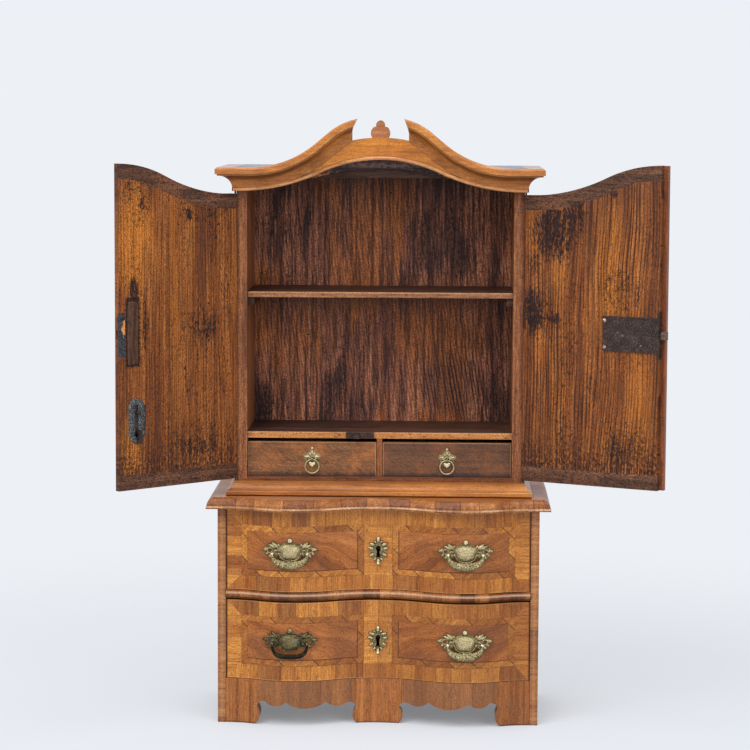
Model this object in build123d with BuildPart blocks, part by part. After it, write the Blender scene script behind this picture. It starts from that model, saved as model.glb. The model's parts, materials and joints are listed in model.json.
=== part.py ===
"""Small baroque cabinet on a serpentine two-drawer chest, built piece by piece.

Frame: X to the right, the front faces -Y, +Z up, origin on the floor under the middle of the
front foot. Everything is in millimetres. The doors stand open at rest, the drawers are shut.
"""

from build123d import *
import os
from math import atan, cos, hypot, radians, sin, sqrt, tan

os.makedirs("parts", exist_ok=True)

# ------------------------------------------------------------------ driving dimensions
# Chest of two drawers
CHEST_WIDTH = 383.0  # over the corner posts
CHEST_DEPTH = 166.0  # post face to back board
CHEST_HEIGHT = 260.0  # floor to the underside of the top
POST_WIDTH = 10.0
POST_DEPTH = 14.0
CHEST_BACK_THICK = 8.0
CHEST_BACK_FOOT = 30.0  # the back board stops this far above the floor
BOTTOM_THICK = 8.0
APRON_HEIGHT = 54.0
APRON_BACK = 18.0  # back of the apron behind the post faces
RAIL_LOW = 151.0  # underside of the rail between the drawers
RAIL_THICK = 10.5
RAIL_DEPTH = 42.0
RAIL_NOSE = 3.0  # nose ahead of the drawer fronts
RAIL_CHAMFER = 3.0  # cut along both edges of the nose
RUNNER_WIDTH = 12.0
TOP_THICK = 13.0
TOP_LIP = 2.5  # flat band under the quarter round
TOP_OVERHANG = 13.0
TOP_BACK_OVERHANG = 2.0
TOP_STEP = 1.0  # quarter round behind the flat band
TOP_BEVEL = 5.6  # first cut of the faceted quarter round
TOP_EASE = 1.8  # second cut, along both edges of the first
FOOT_SIDE = 42.0  # depth of a foot on the side of the chest
FOOT_ARCH = 27.0  # height of the side arch
FOOT_ARCH_SAG = 6.0  # middle of the side arch below its ends
FOOT_CURL = 6.0  # a side foot swells this far at half its height
FOOT_THROAT = 4.0  # and narrows this far under the arch
POST_ROUND = 1.2
# Serpentine front, in plan
WAVE_PEAK = 104.0  # from the middle to each bulge
WAVE_BULGE = 18.5  # bulge ahead of the post faces
WAVE_DIP = 6.0  # middle, behind the post faces
# Scalloped apron: each bay from the middle foot to the outer foot as arcs (start, through, end)
APRON_BAY = [
    ((25.0, 0.0), (30.0, 9.0), (26.0, 18.5)),
    ((26.0, 18.5), (28.5, 24.0), (36.0, 25.5)),
    ((36.0, 25.5), (50.0, 22.5), (61.0, 28.5)),
    ((61.0, 28.5), (85.0, 21.0), (109.0, 28.5)),
    ((109.0, 28.5), (121.0, 23.4), (134.0, 28.8)),
    ((134.0, 28.8), (141.5, 26.5), (143.5, 20.5)),
    ((143.5, 20.5), (140.5, 12.0), (147.0, 0.0)),
]
# Large drawers
DRAWER_SIDE_GAP = 0.7
DRAWER_RUN_GAP = 0.3  # drawer above its runner
DRAWER_TOP_GAP = 2.0  # front below the rail or top above it
FRONT_BACK = 24.0  # inner face of a drawer front behind the post faces
DRAWER_SIDE_THICK = 7.0
DRAWER_BOTTOM_THICK = 4.0
DRAWER_BOTTOM_UP = 2.0  # bottom board above the foot of the sides
DRAWER_BOX_DROP = 12.0  # sides lower than the front
DRAWER_STOP_GAP = 6.0  # behind the box
# Brass bail handles
PLATE_THICK = 1.2
POST_SPREAD = 16.0  # handle posts, each side of the handle's middle
HANDLE_POST_R = 2.2
HANDLE_STAND = 5.0  # bail axis ahead of the plate
BAIL_PIN_R = 1.2
BAIL_BAR_R = 1.6
BAIL_DROP = 16.5
BAIL_HALF = 20.6
BAIL_BEND = 10.0
POST_SIDES = 8  # flats round a handle post, a bail's pins and the pierced holes
PIN_PLAY = 0.1
WIRE_SIDES = 6  # flats round the wire of the bails
HANDLE_HEIGHT = 0.49  # share of the drawer front's height
# Escutcheons and drawer locks
KEY_R = 2.3
KEY_SLOT = 3.2
KEY_LENGTH = 8.3
LOCK_WIDTH = 42.0
LOCK_HEIGHT = 32.0
LOCK_THICK = 8.0
LOCK_DOWN = 1.0  # top of the lock below the top of the drawer front
DRAWER_BOLT = (16.0, 4.0, 14.0)  # width, depth, length
DRAWER_BOLT_THROW = 5.0
MORTISE_END = 1.0  # a bolt's mortise is deeper than its throw by this
# Upper case
CASE_WIDTH = 342.0
CASE_SETBACK = 31.0  # stile faces behind the post faces
CASE_DEPTH = 131.0
CASE_SIDE_THICK = 12.5
CASE_BACK_THICK = 8.0
PLINTH_HEIGHT = 15.5
PLINTH_FOOT = 7.0  # height of the bead at the foot of the plinth
PLINTH_TOP_LEDGE = 3.8  # beyond the case sides
PLINTH_FLARE = 7.5
PLINTH_BEAD_R = 2.4
PLINTH_STEP = 1.4  # foot of the hollow behind the bead
PLINTH_SAG = 0.3  # share of the hollow's run and height at its deepest point
CASE_BASE_THICK = 4.7
SHELF_RECESS = 7.5  # shelves and small drawers behind the stile faces
SMALL_DRAWER_SPACE = 46.0
LOWER_SHELF_THICK = 7.5
MIDDLE_SHELF_RISE = 221.8  # its top above the case floor
MIDDLE_SHELF_THICK = 6.5
CLEAT = (8.0, 9.0, 92.0)  # width, height, length
CLEAT_BACK = 3.0  # cleats behind the shelf's front edge
SHELF_END_GAP = 0.5
CASE_HEIGHT = 362.5  # case sides, plinth to roof
ROOF_THICK = 12.5
HEADER_THICK = 8.0
HEADER_RISE = 11.5
HEADER_ARCH_IN = 93.0  # ends of its arch inside the case's outer faces
HEADER_CREST_RISE = 26.5  # above the roof
HEADER_CREST_IN = 75.0  # ends of its crest inside the case's outer faces
DIVIDER_THICK = 6.6
# Small drawers
SMALL_GAP = 0.7
SMALL_TOP_GAP = 4.6
SMALL_FRONT_THICK = 11.0
SMALL_SIDE_THICK = 5.0
SMALL_BOTTOM_THICK = 4.0
SMALL_BOTTOM_UP = 1.0
SMALL_BOX_DROP = 6.0
# Ring pulls
RING_R = 8.3
RING_WIRE = 1.0
RING_SIDES = 20
RING_BEVEL = 0.5
RING_PLATE_THICK = 1.0
HEART_THICK = 1.8
RING_STAND = 3.2  # ring plane ahead of the drawer face
RING_EYE_R = 2.5
RING_HOLE_R = 1.4
RING_PIVOT_SHARE = 0.49  # height of the ring's axis as a share of the drawer front
# Arched doors and the line above them
ARCH_END_DROP = 15.5  # ends of the line below the roof board
ARCH_END_IN = 3.0  # ends of the line inside the case's outer faces
ARCH_RISE = 37.5
ARCH_HOLLOW = 98.0  # width of each hollow end, beside the crown
DOOR_THICK = 13.0
DOOR_BACK_GAP = 1.2
DOOR_BOTTOM_GAP = 3.2
DOOR_TOP_GAP = 3.6
DOOR_MEET_GAP = 0.4  # each side of the middle
DOOR_HEEL = 2.0  # pivot axis in from the back and from the edge
BATTEN_HEIGHT = 17.5
LEFT_DOOR_REST = 137.2
RIGHT_DOOR_REST = 153.6
REBATE_WIDTH = 7.0
REBATE_DEPTH = 6.0
ASTRAGAL_WIDTH = 13.0
ASTRAGAL_LAP = 5.2
ASTRAGAL_THICK = 6.6
ASTRAGAL_PROUD = 1.5
ASTRAGAL_ROUND = 1.3
ASTRAGAL_SHORT = 0.4  # below the peak of the leaf
PIVOT_R = 1.1
PIVOT_OUT = 1.2  # pivot axis beyond the case side
PIVOT_DEPTH = 7.0
PIVOT_CLEAR = 0.08
STRAP = (26.0, 9.0, 2.0)  # length, width, thickness
STRAP_SINK = 0.4  # straps below the leaf's inner face
STRAP_ROUND = 0.6  # share of the heel the strap runs past the pin
# Door lock, its strike and the flush bolt
LOCK_PLATE = (69.0, 41.0, 1.8)  # along the door, height, thickness
LOCK_RISE = 181.3  # middle of the lock above the foot of the door
LOCK_KEY_IN = 28.6  # keyhole in from the forend
LOCK_BOX = (52.0, 34.0, 7.0)
FOREND = (56.0, 9.0, 1.2)  # height, width, thickness
DOOR_BOLT = (9.6, 3.4)  # height, thickness
DOOR_BOLT_IN = 1.7  # bolt's face in from the door's inner face
DOOR_BOLT_THROW = 9.0
TONGUE_IN = 33.0  # bolt inside the lock
TONGUE_ROOM = 1.0
BOLT_PLAY = 0.4
STRIKE = (51.0, 9.0, 1.2)  # height, width on the face, thickness
FLUSH_POCKET = (21.0, 52.0, 3.4)  # width, height, depth
FLUSH_SINK = 0.4  # foot of the pocket below the lower shelf's top
FLUSH_FROM_EDGE = 27.0
FLUSH_BAR = (7.0, 38.0, 2.0)
FLUSH_BAR_UP = 11.7  # bar above the foot of its pocket
FLUSH_KNOB = (2.6, 3.6, 23.6)  # radius, height, above the foot of the bar
NOSE = (4.6, 2.4, 15.5)  # width, depth, length
NOSE_STAND = 2.2  # nose behind the door's inner face
NOSE_ROOT = 4.0  # height of the root that joins nose and bar
NOSE_UP = 3.0  # top of the nose above the foot of the bar
KEEPER = (34.0, 7.0, 1.2)  # width, height, thickness
KEEPER_SHIFT = 4.0  # keeper beside the bolt's middle
STAPLE_WALL = 1.4
STAPLE_FACE = 1.1  # wall ahead of the nose
STAPLE_HEIGHT = 5.0
STAPLE_GAP = 0.8  # staple below the nose
# Pediment
TYMPANUM_THICK = 17.0
TYMPANUM_LEDGE = 2.8  # beyond the case sides
BEAD_HEIGHT = 4.0
BEAD_PROUD = 2.5
BEAD_CHAMFER = 1.2
SWAN_HEIGHT = 23.5
SWAN_RISE = 59.0  # crowns of the necks above the roof
SWAN_CROWN_X = 12.0
SWAN_CROWN_R = 75.0
SWAN_SLOPE = 40.0
NECK_END_IN = 19.8  # necks come level this far inside the tympanum's ends
SWAN_SEAT = 17.0  # height of the tympanum's edge inside the moulding
NECK_CUT = ((24.5, 4.0), (32.0, -12.0))  # arc of a neck's cut end: x, height above the crown
NECK_CUT_FOOT = 12.0  # the cut ends this far below the crest
CREST_RISE = 35.5  # crest between the two necks, above the roof
CREST_HALF = 33.5
CREST_DROP = 3.5
FINIAL_THICK = 8.0
# Clearances
CLEAR = 0.3  # between pieces that move past one another
MARGIN = 5.0  # cutters reach this far past what they cut
NEAR = 0.05  # an edge this close to a corner is the one meant

# ------------------------------------------------------------------ worked-out places
FRONT = -(WAVE_DIP + APRON_BACK) / 2  # puts the origin at the middle of the front foot
BACK = FRONT + CHEST_DEPTH
OPENING = CHEST_WIDTH / 2 - POST_WIDTH  # half the drawer opening
RAIL_TOP = RAIL_LOW + RAIL_THICK
CHEST_TOP_Z = CHEST_HEIGHT + TOP_THICK
PLINTH_TOP_Z = CHEST_TOP_Z + PLINTH_HEIGHT
CASE_FRONT = FRONT + CASE_SETBACK
CASE_BACK = CASE_FRONT + CASE_DEPTH
CASE_INNER_BACK = CASE_BACK - CASE_BACK_THICK
CASE_HALF = CASE_WIDTH / 2
CASE_INNER = CASE_HALF - CASE_SIDE_THICK
CASE_FLOOR = PLINTH_TOP_Z + CASE_BASE_THICK
SHELF_FRONT = CASE_FRONT + SHELF_RECESS
LOWER_SHELF_LOW = CASE_FLOOR + SMALL_DRAWER_SPACE
LOWER_SHELF_TOP = LOWER_SHELF_LOW + LOWER_SHELF_THICK
MIDDLE_SHELF_TOP = CASE_FLOOR + MIDDLE_SHELF_RISE
MIDDLE_SHELF_LOW = MIDDLE_SHELF_TOP - MIDDLE_SHELF_THICK
ROOF_LOW = PLINTH_TOP_Z + CASE_HEIGHT
CORNICE_TOP = ROOF_LOW + ROOF_THICK
HEADER_ARCH_HALF = CASE_HALF - HEADER_ARCH_IN
HEADER_CREST_HALF = CASE_HALF - HEADER_CREST_IN
HEADER_BACK = CASE_FRONT + HEADER_THICK
DOOR_BACK = CASE_FRONT - DOOR_BACK_GAP
DOOR_FRONT = DOOR_BACK - DOOR_THICK
DOOR_LOW = PLINTH_TOP_Z + DOOR_BOTTOM_GAP
PIVOT_X = CASE_HALF + PIVOT_OUT
PIVOT_Y = DOOR_BACK - DOOR_HEEL
LOCK_Z = DOOR_LOW + LOCK_RISE
FLUSH_LOW = LOWER_SHELF_TOP - FLUSH_SINK
TYMPANUM_FRONT = CASE_FRONT - TYMPANUM_THICK
TYMPANUM_HALF = CASE_HALF + TYMPANUM_LEDGE
NECK_LOW = CORNICE_TOP - SWAN_HEIGHT
SWAN_CROWN_Z = CORNICE_TOP + SWAN_RISE
CREST_Z = CORNICE_TOP + CREST_RISE
ARCH_END_Z = ROOF_LOW - ARCH_END_DROP
ARCH_HALF = CASE_HALF - ARCH_END_IN
ARCH_TURN_X = ARCH_HALF - ARCH_HOLLOW


# ------------------------------------------------------------------ shared shapes
def face_plane(y):
    """A plane facing the front, whose sketch coordinates are the part's X and Z."""
    return Plane(origin=(0, y, 0), x_dir=(1, 0, 0), z_dir=(0, -1, 0))


def board(x0, x1, y0, y1, z0, z1, mode=Mode.ADD):
    """A plain squared board between two corners."""
    with BuildSketch(Plane.XY.offset(z0)) as plan:
        with Locations(((x0 + x1) / 2, (y0 + y1) / 2)):
            Rectangle(x1 - x0, y1 - y0)
    extrude(plan.sketch, amount=z1 - z0, mode=mode)


def wave_sketch(shift, back, half):
    """Plan of the serpentine front, moved by shift, closed by a straight back and cut to half."""
    far = OPENING + 3 * TOP_OVERHANG
    y = FRONT + shift
    turns = [
        (-OPENING, y),
        (-WAVE_PEAK, y - WAVE_BULGE),
        (0, y + WAVE_DIP),
        (WAVE_PEAK, y - WAVE_BULGE),
        (OPENING, y),
    ]
    with BuildLine() as edge:
        Line((-far, y), turns[0])
        for a, b in zip(turns, turns[1:]):
            middle = ((a[0] + b[0]) / 2, (a[1] + b[1]) / 2)
            TangentArc(a, middle, tangent=(1, 0))
            TangentArc(b, middle, tangent=(-1, 0))
        Polyline(turns[-1], (far, y), (far, back), (-far, back), (-far, y))
    make_face(edge.edges())
    with Locations((0, (y - 2 * WAVE_BULGE + back) / 2)):
        Rectangle(2 * half, back - y + 2 * WAVE_BULGE, mode=Mode.INTERSECT)


def bowed_slab(shift, back, half, z0, z1, mode=Mode.ADD):
    """A board with the serpentine front edge."""
    with BuildSketch(Plane.XY.offset(z0)) as plan:
        wave_sketch(shift, back, half)
    extrude(plan.sketch, amount=z1 - z0, mode=mode)


ARCH_ANGLE = 2 * atan(ARCH_RISE / ARCH_HALF)
CROWN_R = ARCH_TURN_X / sin(ARCH_ANGLE)
HOLLOW_R = ARCH_HOLLOW / sin(ARCH_ANGLE)
CROWN_CENTRE = ARCH_END_Z + ARCH_RISE - CROWN_R
HOLLOW_CENTRE = ARCH_END_Z + HOLLOW_R


def arch_side(lift, side, half):
    """One half of the door-head line, lifted parallel to itself, from the middle outwards."""
    def crown(angle):
        return (side * (CROWN_R + lift) * sin(angle), CROWN_CENTRE + (CROWN_R + lift) * cos(angle))

    def hollow(angle):
        r = HOLLOW_R - lift
        return (side * (ARCH_HALF - r * sin(angle)), HOLLOW_CENTRE - r * cos(angle))

    ThreePointArc(crown(0), crown(ARCH_ANGLE / 2), crown(ARCH_ANGLE))
    ThreePointArc(crown(ARCH_ANGLE), hollow(ARCH_ANGLE / 2), hollow(0))
    Line(hollow(0), (side * half, ARCH_END_Z + lift))


def under_arch(lift, low, side, near, far):
    """The area below one half of the door-head line, between two distances from the middle."""
    with BuildLine() as edge:
        arch_side(lift, side, far + MARGIN)
        Polyline(
            (side * (far + MARGIN), ARCH_END_Z + lift),
            (side * (far + MARGIN), low),
            (0, low),
            (0, ARCH_END_Z + ARCH_RISE + lift),
        )
    make_face(edge.edges())
    with Locations((side * (near + far) / 2, low + ARCH_END_Z / 2)):
        Rectangle(far - near, 2 * ARCH_END_Z, mode=Mode.INTERSECT)


# The swan neck falls from its crown on one radius, runs straight and comes level on another.
slope = radians(SWAN_SLOPE)
NECK_END_X = TYMPANUM_HALF - NECK_END_IN
NECK_RADII = (NECK_END_X - SWAN_CROWN_X - SWAN_RISE / tan(slope)) / tan(slope / 2)
SWAN_FOOT_R = NECK_RADII - SWAN_CROWN_R


def neck_line(drop, side, end_x):
    """Swan-neck line, parallel to its top edge and lower by drop, from the outer end inwards."""
    r_crown = SWAN_CROWN_R - drop
    r_foot = SWAN_FOOT_R + drop
    foot = (NECK_END_X, CORNICE_TOP + SWAN_FOOT_R)
    crown = (SWAN_CROWN_X, SWAN_CROWN_Z - SWAN_CROWN_R)

    def on_foot(a):
        return (side * (foot[0] - r_foot * sin(a)), foot[1] - r_foot * cos(a))

    def on_crown(a):
        return (side * (crown[0] + r_crown * sin(a)), crown[1] + r_crown * cos(a))

    Line((side * end_x, CORNICE_TOP - drop), on_foot(0))
    ThreePointArc(on_foot(0), on_foot(slope / 2), on_foot(slope))
    Line(on_foot(slope), on_crown(slope))
    ThreePointArc(on_crown(slope), on_crown(slope / 2), on_crown(0))


def leaf_plane(side, y):
    """A plane on a door leaf at rest, in which the leaf is drawn as if it were shut."""
    angle = radians(RIGHT_DOOR_REST if side > 0 else -LEFT_DOOR_REST)
    dx, dy = -side * PIVOT_X, y - PIVOT_Y
    origin = (
        side * PIVOT_X + dx * cos(angle) - dy * sin(angle),
        PIVOT_Y + dx * sin(angle) + dy * cos(angle),
        0,
    )
    return Plane(
        origin=origin,
        x_dir=(cos(angle), sin(angle), 0),
        z_dir=(sin(angle), -cos(angle), 0),
    )


def leaf_box(side, x0, x1, y0, y1, z0, z1, mode=Mode.ADD):
    """A box on a door leaf, given where it is when the leaf is shut."""
    with BuildSketch(leaf_plane(side, y0)) as outline:
        with Locations(((x0 + x1) / 2, (z0 + z1) / 2)):
            Rectangle(x1 - x0, z1 - z0)
    extrude(outline.sketch, amount=-(y1 - y0), mode=mode)


def save(part, name):
    """Label a finished piece and write it."""
    part.label = name
    export_step(part, f"parts/{name}.step")


# ------------------------------------------------------------------ chest carcass
with BuildPart() as chest_sides:
    side_front = FRONT + POST_DEPTH
    for side in (-1, 1):
        plane = Plane(origin=(side * OPENING, 0, 0), x_dir=(0, 1, 0), z_dir=(1, 0, 0))
        with BuildSketch(plane):
            with BuildLine():
                front_foot = FRONT + FOOT_SIDE
                rear_foot = BACK - FOOT_SIDE
                Polyline((front_foot, 0), (side_front, 0), (side_front, CHEST_HEIGHT))
                Polyline((side_front, CHEST_HEIGHT), (BACK, CHEST_HEIGHT), (BACK, 0), (rear_foot, 0))
                rear_arch = (rear_foot - FOOT_THROAT, FOOT_ARCH)
                front_arch = (front_foot + FOOT_THROAT, FOOT_ARCH)
                ThreePointArc((rear_foot, 0), (rear_foot + FOOT_CURL, FOOT_ARCH / 2), rear_arch)
                ThreePointArc(
                    rear_arch, ((FRONT + BACK) / 2, FOOT_ARCH - FOOT_ARCH_SAG), front_arch
                )
                ThreePointArc(front_arch, (front_foot - FOOT_CURL, FOOT_ARCH / 2), (front_foot, 0))
            make_face()
        extrude(amount=side * POST_WIDTH)
save(chest_sides.part, "chest_sides")

with BuildPart() as corner_posts:
    for side in (-1, 1):
        with BuildSketch():
            with Locations((side * (OPENING + POST_WIDTH / 2), FRONT + POST_DEPTH / 2)):
                Rectangle(POST_WIDTH, POST_DEPTH)
        extrude(amount=CHEST_HEIGHT)
    posts_front = corner_posts.edges().filter_by(Axis.Z).group_by(Axis.Y)[0]
    fillet(posts_front, radius=POST_ROUND)
save(corner_posts.part, "corner_posts")

with BuildPart() as chest_back:
    board(-OPENING, OPENING, BACK - CHEST_BACK_THICK, BACK, CHEST_BACK_FOOT, CHEST_HEIGHT)
save(chest_back.part, "chest_back")

with BuildPart() as chest_bottom:
    board(
        -OPENING, OPENING, FRONT + APRON_BACK, BACK - CHEST_BACK_THICK,
        APRON_HEIGHT - BOTTOM_THICK, APRON_HEIGHT,
    )
save(chest_bottom.part, "chest_bottom")

with BuildPart() as apron:
    bowed_slab(0, FRONT + APRON_BACK, OPENING, 0, APRON_HEIGHT)
    for side in (-1, 1):
        with BuildSketch(face_plane(FRONT - 2 * WAVE_BULGE)):
            with BuildLine():
                for start, through, end in APRON_BAY:
                    ThreePointArc(*[(side * x, z) for x, z in (start, through, end)])
                first, last = APRON_BAY[0][0], APRON_BAY[-1][2]
                Polyline(
                    (side * last[0], last[1]), (side * last[0], -MARGIN),
                    (side * first[0], -MARGIN), (side * first[0], first[1]),
                )
            make_face()
        extrude(amount=-(2 * WAVE_BULGE + APRON_BACK), mode=Mode.SUBTRACT)
save(apron.part, "apron")

with BuildPart() as drawer_rail:
    with BuildSketch(Plane.XY.offset(RAIL_LOW)) as rail_plan:
        wave_sketch(-RAIL_NOSE, FRONT + RAIL_DEPTH, OPENING)
    extrude(amount=RAIL_THICK)
    nose = [e for e in drawer_rail.edges() if e.center().Y < FRONT and abs(e.center().X) < OPENING]
    flat = [e for e in nose if abs((e @ 0).Z - (e @ 1).Z) < 0.1]
    chamfer(flat, length=RAIL_CHAMFER)
    lock_y = FRONT + FRONT_BACK + LOCK_THICK / 2
    bolt_w, bolt_d, bolt_l = DRAWER_BOLT
    board(
        -bolt_w / 2 - BOLT_PLAY, bolt_w / 2 + BOLT_PLAY,
        lock_y - bolt_d / 2 - BOLT_PLAY, lock_y + bolt_d / 2 + BOLT_PLAY,
        RAIL_LOW, RAIL_LOW + DRAWER_BOLT_THROW + MORTISE_END, mode=Mode.SUBTRACT,
    )
save(drawer_rail.part, "drawer_rail")

with BuildPart() as drawer_runners:
    for side in (-1, 1):
        near, far = sorted((side * OPENING, side * (OPENING - RUNNER_WIDTH)))
        board(near, far, FRONT + RAIL_DEPTH, BACK - CHEST_BACK_THICK, RAIL_LOW, RAIL_TOP)
save(drawer_runners.part, "drawer_runners")

with BuildPart() as chest_top:
    half = CHEST_WIDTH / 2 + TOP_OVERHANG
    bowed_slab(
        -TOP_OVERHANG, BACK + TOP_BACK_OVERHANG, half, CHEST_HEIGHT, CHEST_HEIGHT + TOP_LIP
    )
    bowed_slab(
        -TOP_OVERHANG + TOP_STEP, BACK + TOP_BACK_OVERHANG, half - TOP_STEP,
        CHEST_HEIGHT + TOP_LIP, CHEST_TOP_Z,
    )
    for length, rows in ((TOP_BEVEL, 1), (TOP_EASE, 2)):
        level = chest_top.edges().filter_by(lambda e: abs((e @ 0).Z - (e @ 1).Z) < NEAR)
        upper = [e for row in level.group_by(Axis.Z)[-rows:] for e in row]
        chamfer([e for e in upper if e.center().Y < BACK + TOP_BACK_OVERHANG - NEAR], length)
    board(
        -bolt_w / 2 - BOLT_PLAY, bolt_w / 2 + BOLT_PLAY,
        lock_y - bolt_d / 2 - BOLT_PLAY, lock_y + bolt_d / 2 + BOLT_PLAY,
        CHEST_HEIGHT, CHEST_HEIGHT + DRAWER_BOLT_THROW + MORTISE_END, mode=Mode.SUBTRACT,
    )
save(chest_top.part, "chest_top")


# ------------------------------------------------------------------ large drawers
def key_sketch(x, z):
    """A keyhole: a round eye over a straight slot."""
    with Locations((x, z + KEY_R)):
        Circle(KEY_R)
    with Locations((x, z - KEY_R)):
        Rectangle(KEY_SLOT, KEY_LENGTH)


HANDLE_OUTLINE = [  # right half of the plate from the top knob round to the foot, as (x, z)
    (0.0, 18.0), (2.8, 15.6), (2.2, 13.2), (8.5, 11.8), (12.5, 7.6), (17.0, 8.2), (20.5, 13.6),
    (23.5, 8.4), (29.0, 7.6), (33.0, 2.6), (27.5, 0.6), (26.0, -4.2), (19.5, -4.6), (14.0, -3.0),
    (12.2, -6.2), (6.5, -8.8), (0.0, -9.4),
]
WING_HOLE = (23.6, 2.9, 2.3)  # pierced hole: x, z, radius
ESCUTCHEON_OUTLINE = [
    (0.0, 17.3), (2.6, 15.2), (2.2, 12.2), (5.4, 9.0), (10.6, 9.8), (7.4, 4.6), (12.4, 2.2),
    (8.0, -1.4), (9.8, -7.6), (5.2, -8.2), (3.0, -11.4), (2.4, -14.8), (0.0, -17.3),
]


def mirrored_outline(x, z, half):
    """A closed outline from its right half."""
    right = [(x + px, z + pz) for px, pz in half]
    left = [(x - px, z + pz) for px, pz in reversed(half[1:-1])]
    with BuildLine() as edge:
        Polyline(*right, *left, right[0])
    make_face(edge.edges())


for name, low, high in (("lower", APRON_HEIGHT, RAIL_LOW), ("upper", RAIL_TOP, CHEST_HEIGHT)):
    front_low = low + 2 * DRAWER_RUN_GAP
    front_high = high - DRAWER_TOP_GAP
    half = OPENING - DRAWER_SIDE_GAP
    inner_y = FRONT + FRONT_BACK
    handle_z = front_low + HANDLE_HEIGHT * (front_high - front_low)

    with BuildPart() as drawer_front:
        bowed_slab(0, inner_y, half, front_low, front_high)
        with BuildSketch(face_plane(FRONT - 2 * WAVE_BULGE)):
            key_sketch(0, handle_z - KEY_R)
        extrude(amount=-(2 * WAVE_BULGE + FRONT_BACK), mode=Mode.SUBTRACT)
    save(drawer_front.part, f"{name}_drawer_front")

    box_low = low + DRAWER_RUN_GAP
    box_back = BACK - CHEST_BACK_THICK - DRAWER_STOP_GAP
    box_high = front_high - DRAWER_BOX_DROP
    with BuildPart() as drawer_box:
        for side in (-1, 1):
            near, far = sorted((side * half, side * (half - DRAWER_SIDE_THICK)))
            board(near, far, inner_y, box_back, box_low, box_high)
        inside = half - DRAWER_SIDE_THICK
        board(-inside, inside, box_back - DRAWER_SIDE_THICK, box_back, box_low, box_high)
        bottom_low = box_low + DRAWER_BOTTOM_UP
        board(
            -inside, inside, inner_y, box_back - DRAWER_SIDE_THICK,
            bottom_low, bottom_low + DRAWER_BOTTOM_THICK,
        )
    save(drawer_box.part, f"{name}_drawer_box")

    with BuildPart() as drawer_lock:
        lock_top = front_high - LOCK_DOWN
        board(
            -LOCK_WIDTH / 2, LOCK_WIDTH / 2, inner_y, inner_y + LOCK_THICK,
            lock_top - LOCK_HEIGHT, lock_top,
        )
        board(
            -bolt_w / 2 - PIN_PLAY, bolt_w / 2 + PIN_PLAY, lock_y - bolt_d / 2 - PIN_PLAY,
            lock_y + bolt_d / 2 + PIN_PLAY, lock_top - bolt_l - CLEAR, lock_top, mode=Mode.SUBTRACT,
        )
    save(drawer_lock.part, f"{name}_drawer_lock")

    with BuildPart() as lock_bolt:
        board(
            -bolt_w / 2, bolt_w / 2, lock_y - bolt_d / 2, lock_y + bolt_d / 2,
            lock_top - bolt_l, lock_top,
        )
    save(lock_bolt.part, f"{name}_drawer_lock_bolt")

    with BuildPart() as escutcheon:
        with BuildSketch(face_plane(FRONT - 2 * WAVE_BULGE)):
            mirrored_outline(0, handle_z, ESCUTCHEON_OUTLINE)
        extrude(amount=-(2 * WAVE_BULGE + FRONT_BACK))
        with BuildSketch(Plane.XY.offset(front_low)):
            wave_sketch(-PLATE_THICK, FRONT + WAVE_DIP + NEAR, half)
        extrude(amount=front_high - front_low, mode=Mode.INTERSECT)
        bowed_slab(0, inner_y, half, front_low, front_high, mode=Mode.SUBTRACT)
        with BuildSketch(face_plane(FRONT - 2 * WAVE_BULGE)):
            key_sketch(0, handle_z - KEY_R)
        extrude(amount=-(2 * WAVE_BULGE + FRONT_BACK), mode=Mode.SUBTRACT)
    save(escutcheon.part, f"{name}_drawer_escutcheon")

    peak_y = FRONT - WAVE_BULGE
    axis_y = peak_y - PLATE_THICK - HANDLE_STAND
    with BuildPart() as handle_plates:
        for side in (-1, 1):
            with BuildSketch(face_plane(FRONT - 2 * WAVE_BULGE)):
                mirrored_outline(side * WAVE_PEAK, handle_z, HANDLE_OUTLINE)
                hole_x, hole_z, hole_r = WING_HOLE
                with Locations(
                    (side * WAVE_PEAK - hole_x, handle_z + hole_z),
                    (side * WAVE_PEAK + hole_x, handle_z + hole_z),
                ):
                    RegularPolygon(hole_r, side_count=POST_SIDES, mode=Mode.SUBTRACT)
            extrude(amount=-(2 * WAVE_BULGE + FRONT_BACK))
        with BuildSketch(Plane.XY.offset(front_low)):
            wave_sketch(-PLATE_THICK, FRONT + WAVE_DIP + NEAR, half)
        extrude(amount=front_high - front_low, mode=Mode.INTERSECT)
        for side in (-1, 1):
            for post in (-1, 1):
                x = side * WAVE_PEAK + post * POST_SPREAD
                with BuildSketch(face_plane(axis_y - HANDLE_POST_R)):
                    with Locations((x, handle_z)):
                        RegularPolygon(
                            HANDLE_POST_R, side_count=POST_SIDES, major_radius=False,
                            rotation=180 / POST_SIDES,
                        )
                extrude(amount=-(HANDLE_POST_R + HANDLE_STAND + MARGIN))
        bowed_slab(0, inner_y, half, front_low, front_high, mode=Mode.SUBTRACT)
        for side in (-1, 1):
            with BuildSketch(Plane.YZ.offset(side * WAVE_PEAK - BAIL_HALF)):
                with Locations((axis_y, handle_z)):
                    Circle(BAIL_PIN_R + PIN_PLAY)
            extrude(amount=2 * BAIL_HALF, mode=Mode.SUBTRACT)
    save(handle_plates.part, f"{name}_drawer_handle_plates")

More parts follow.
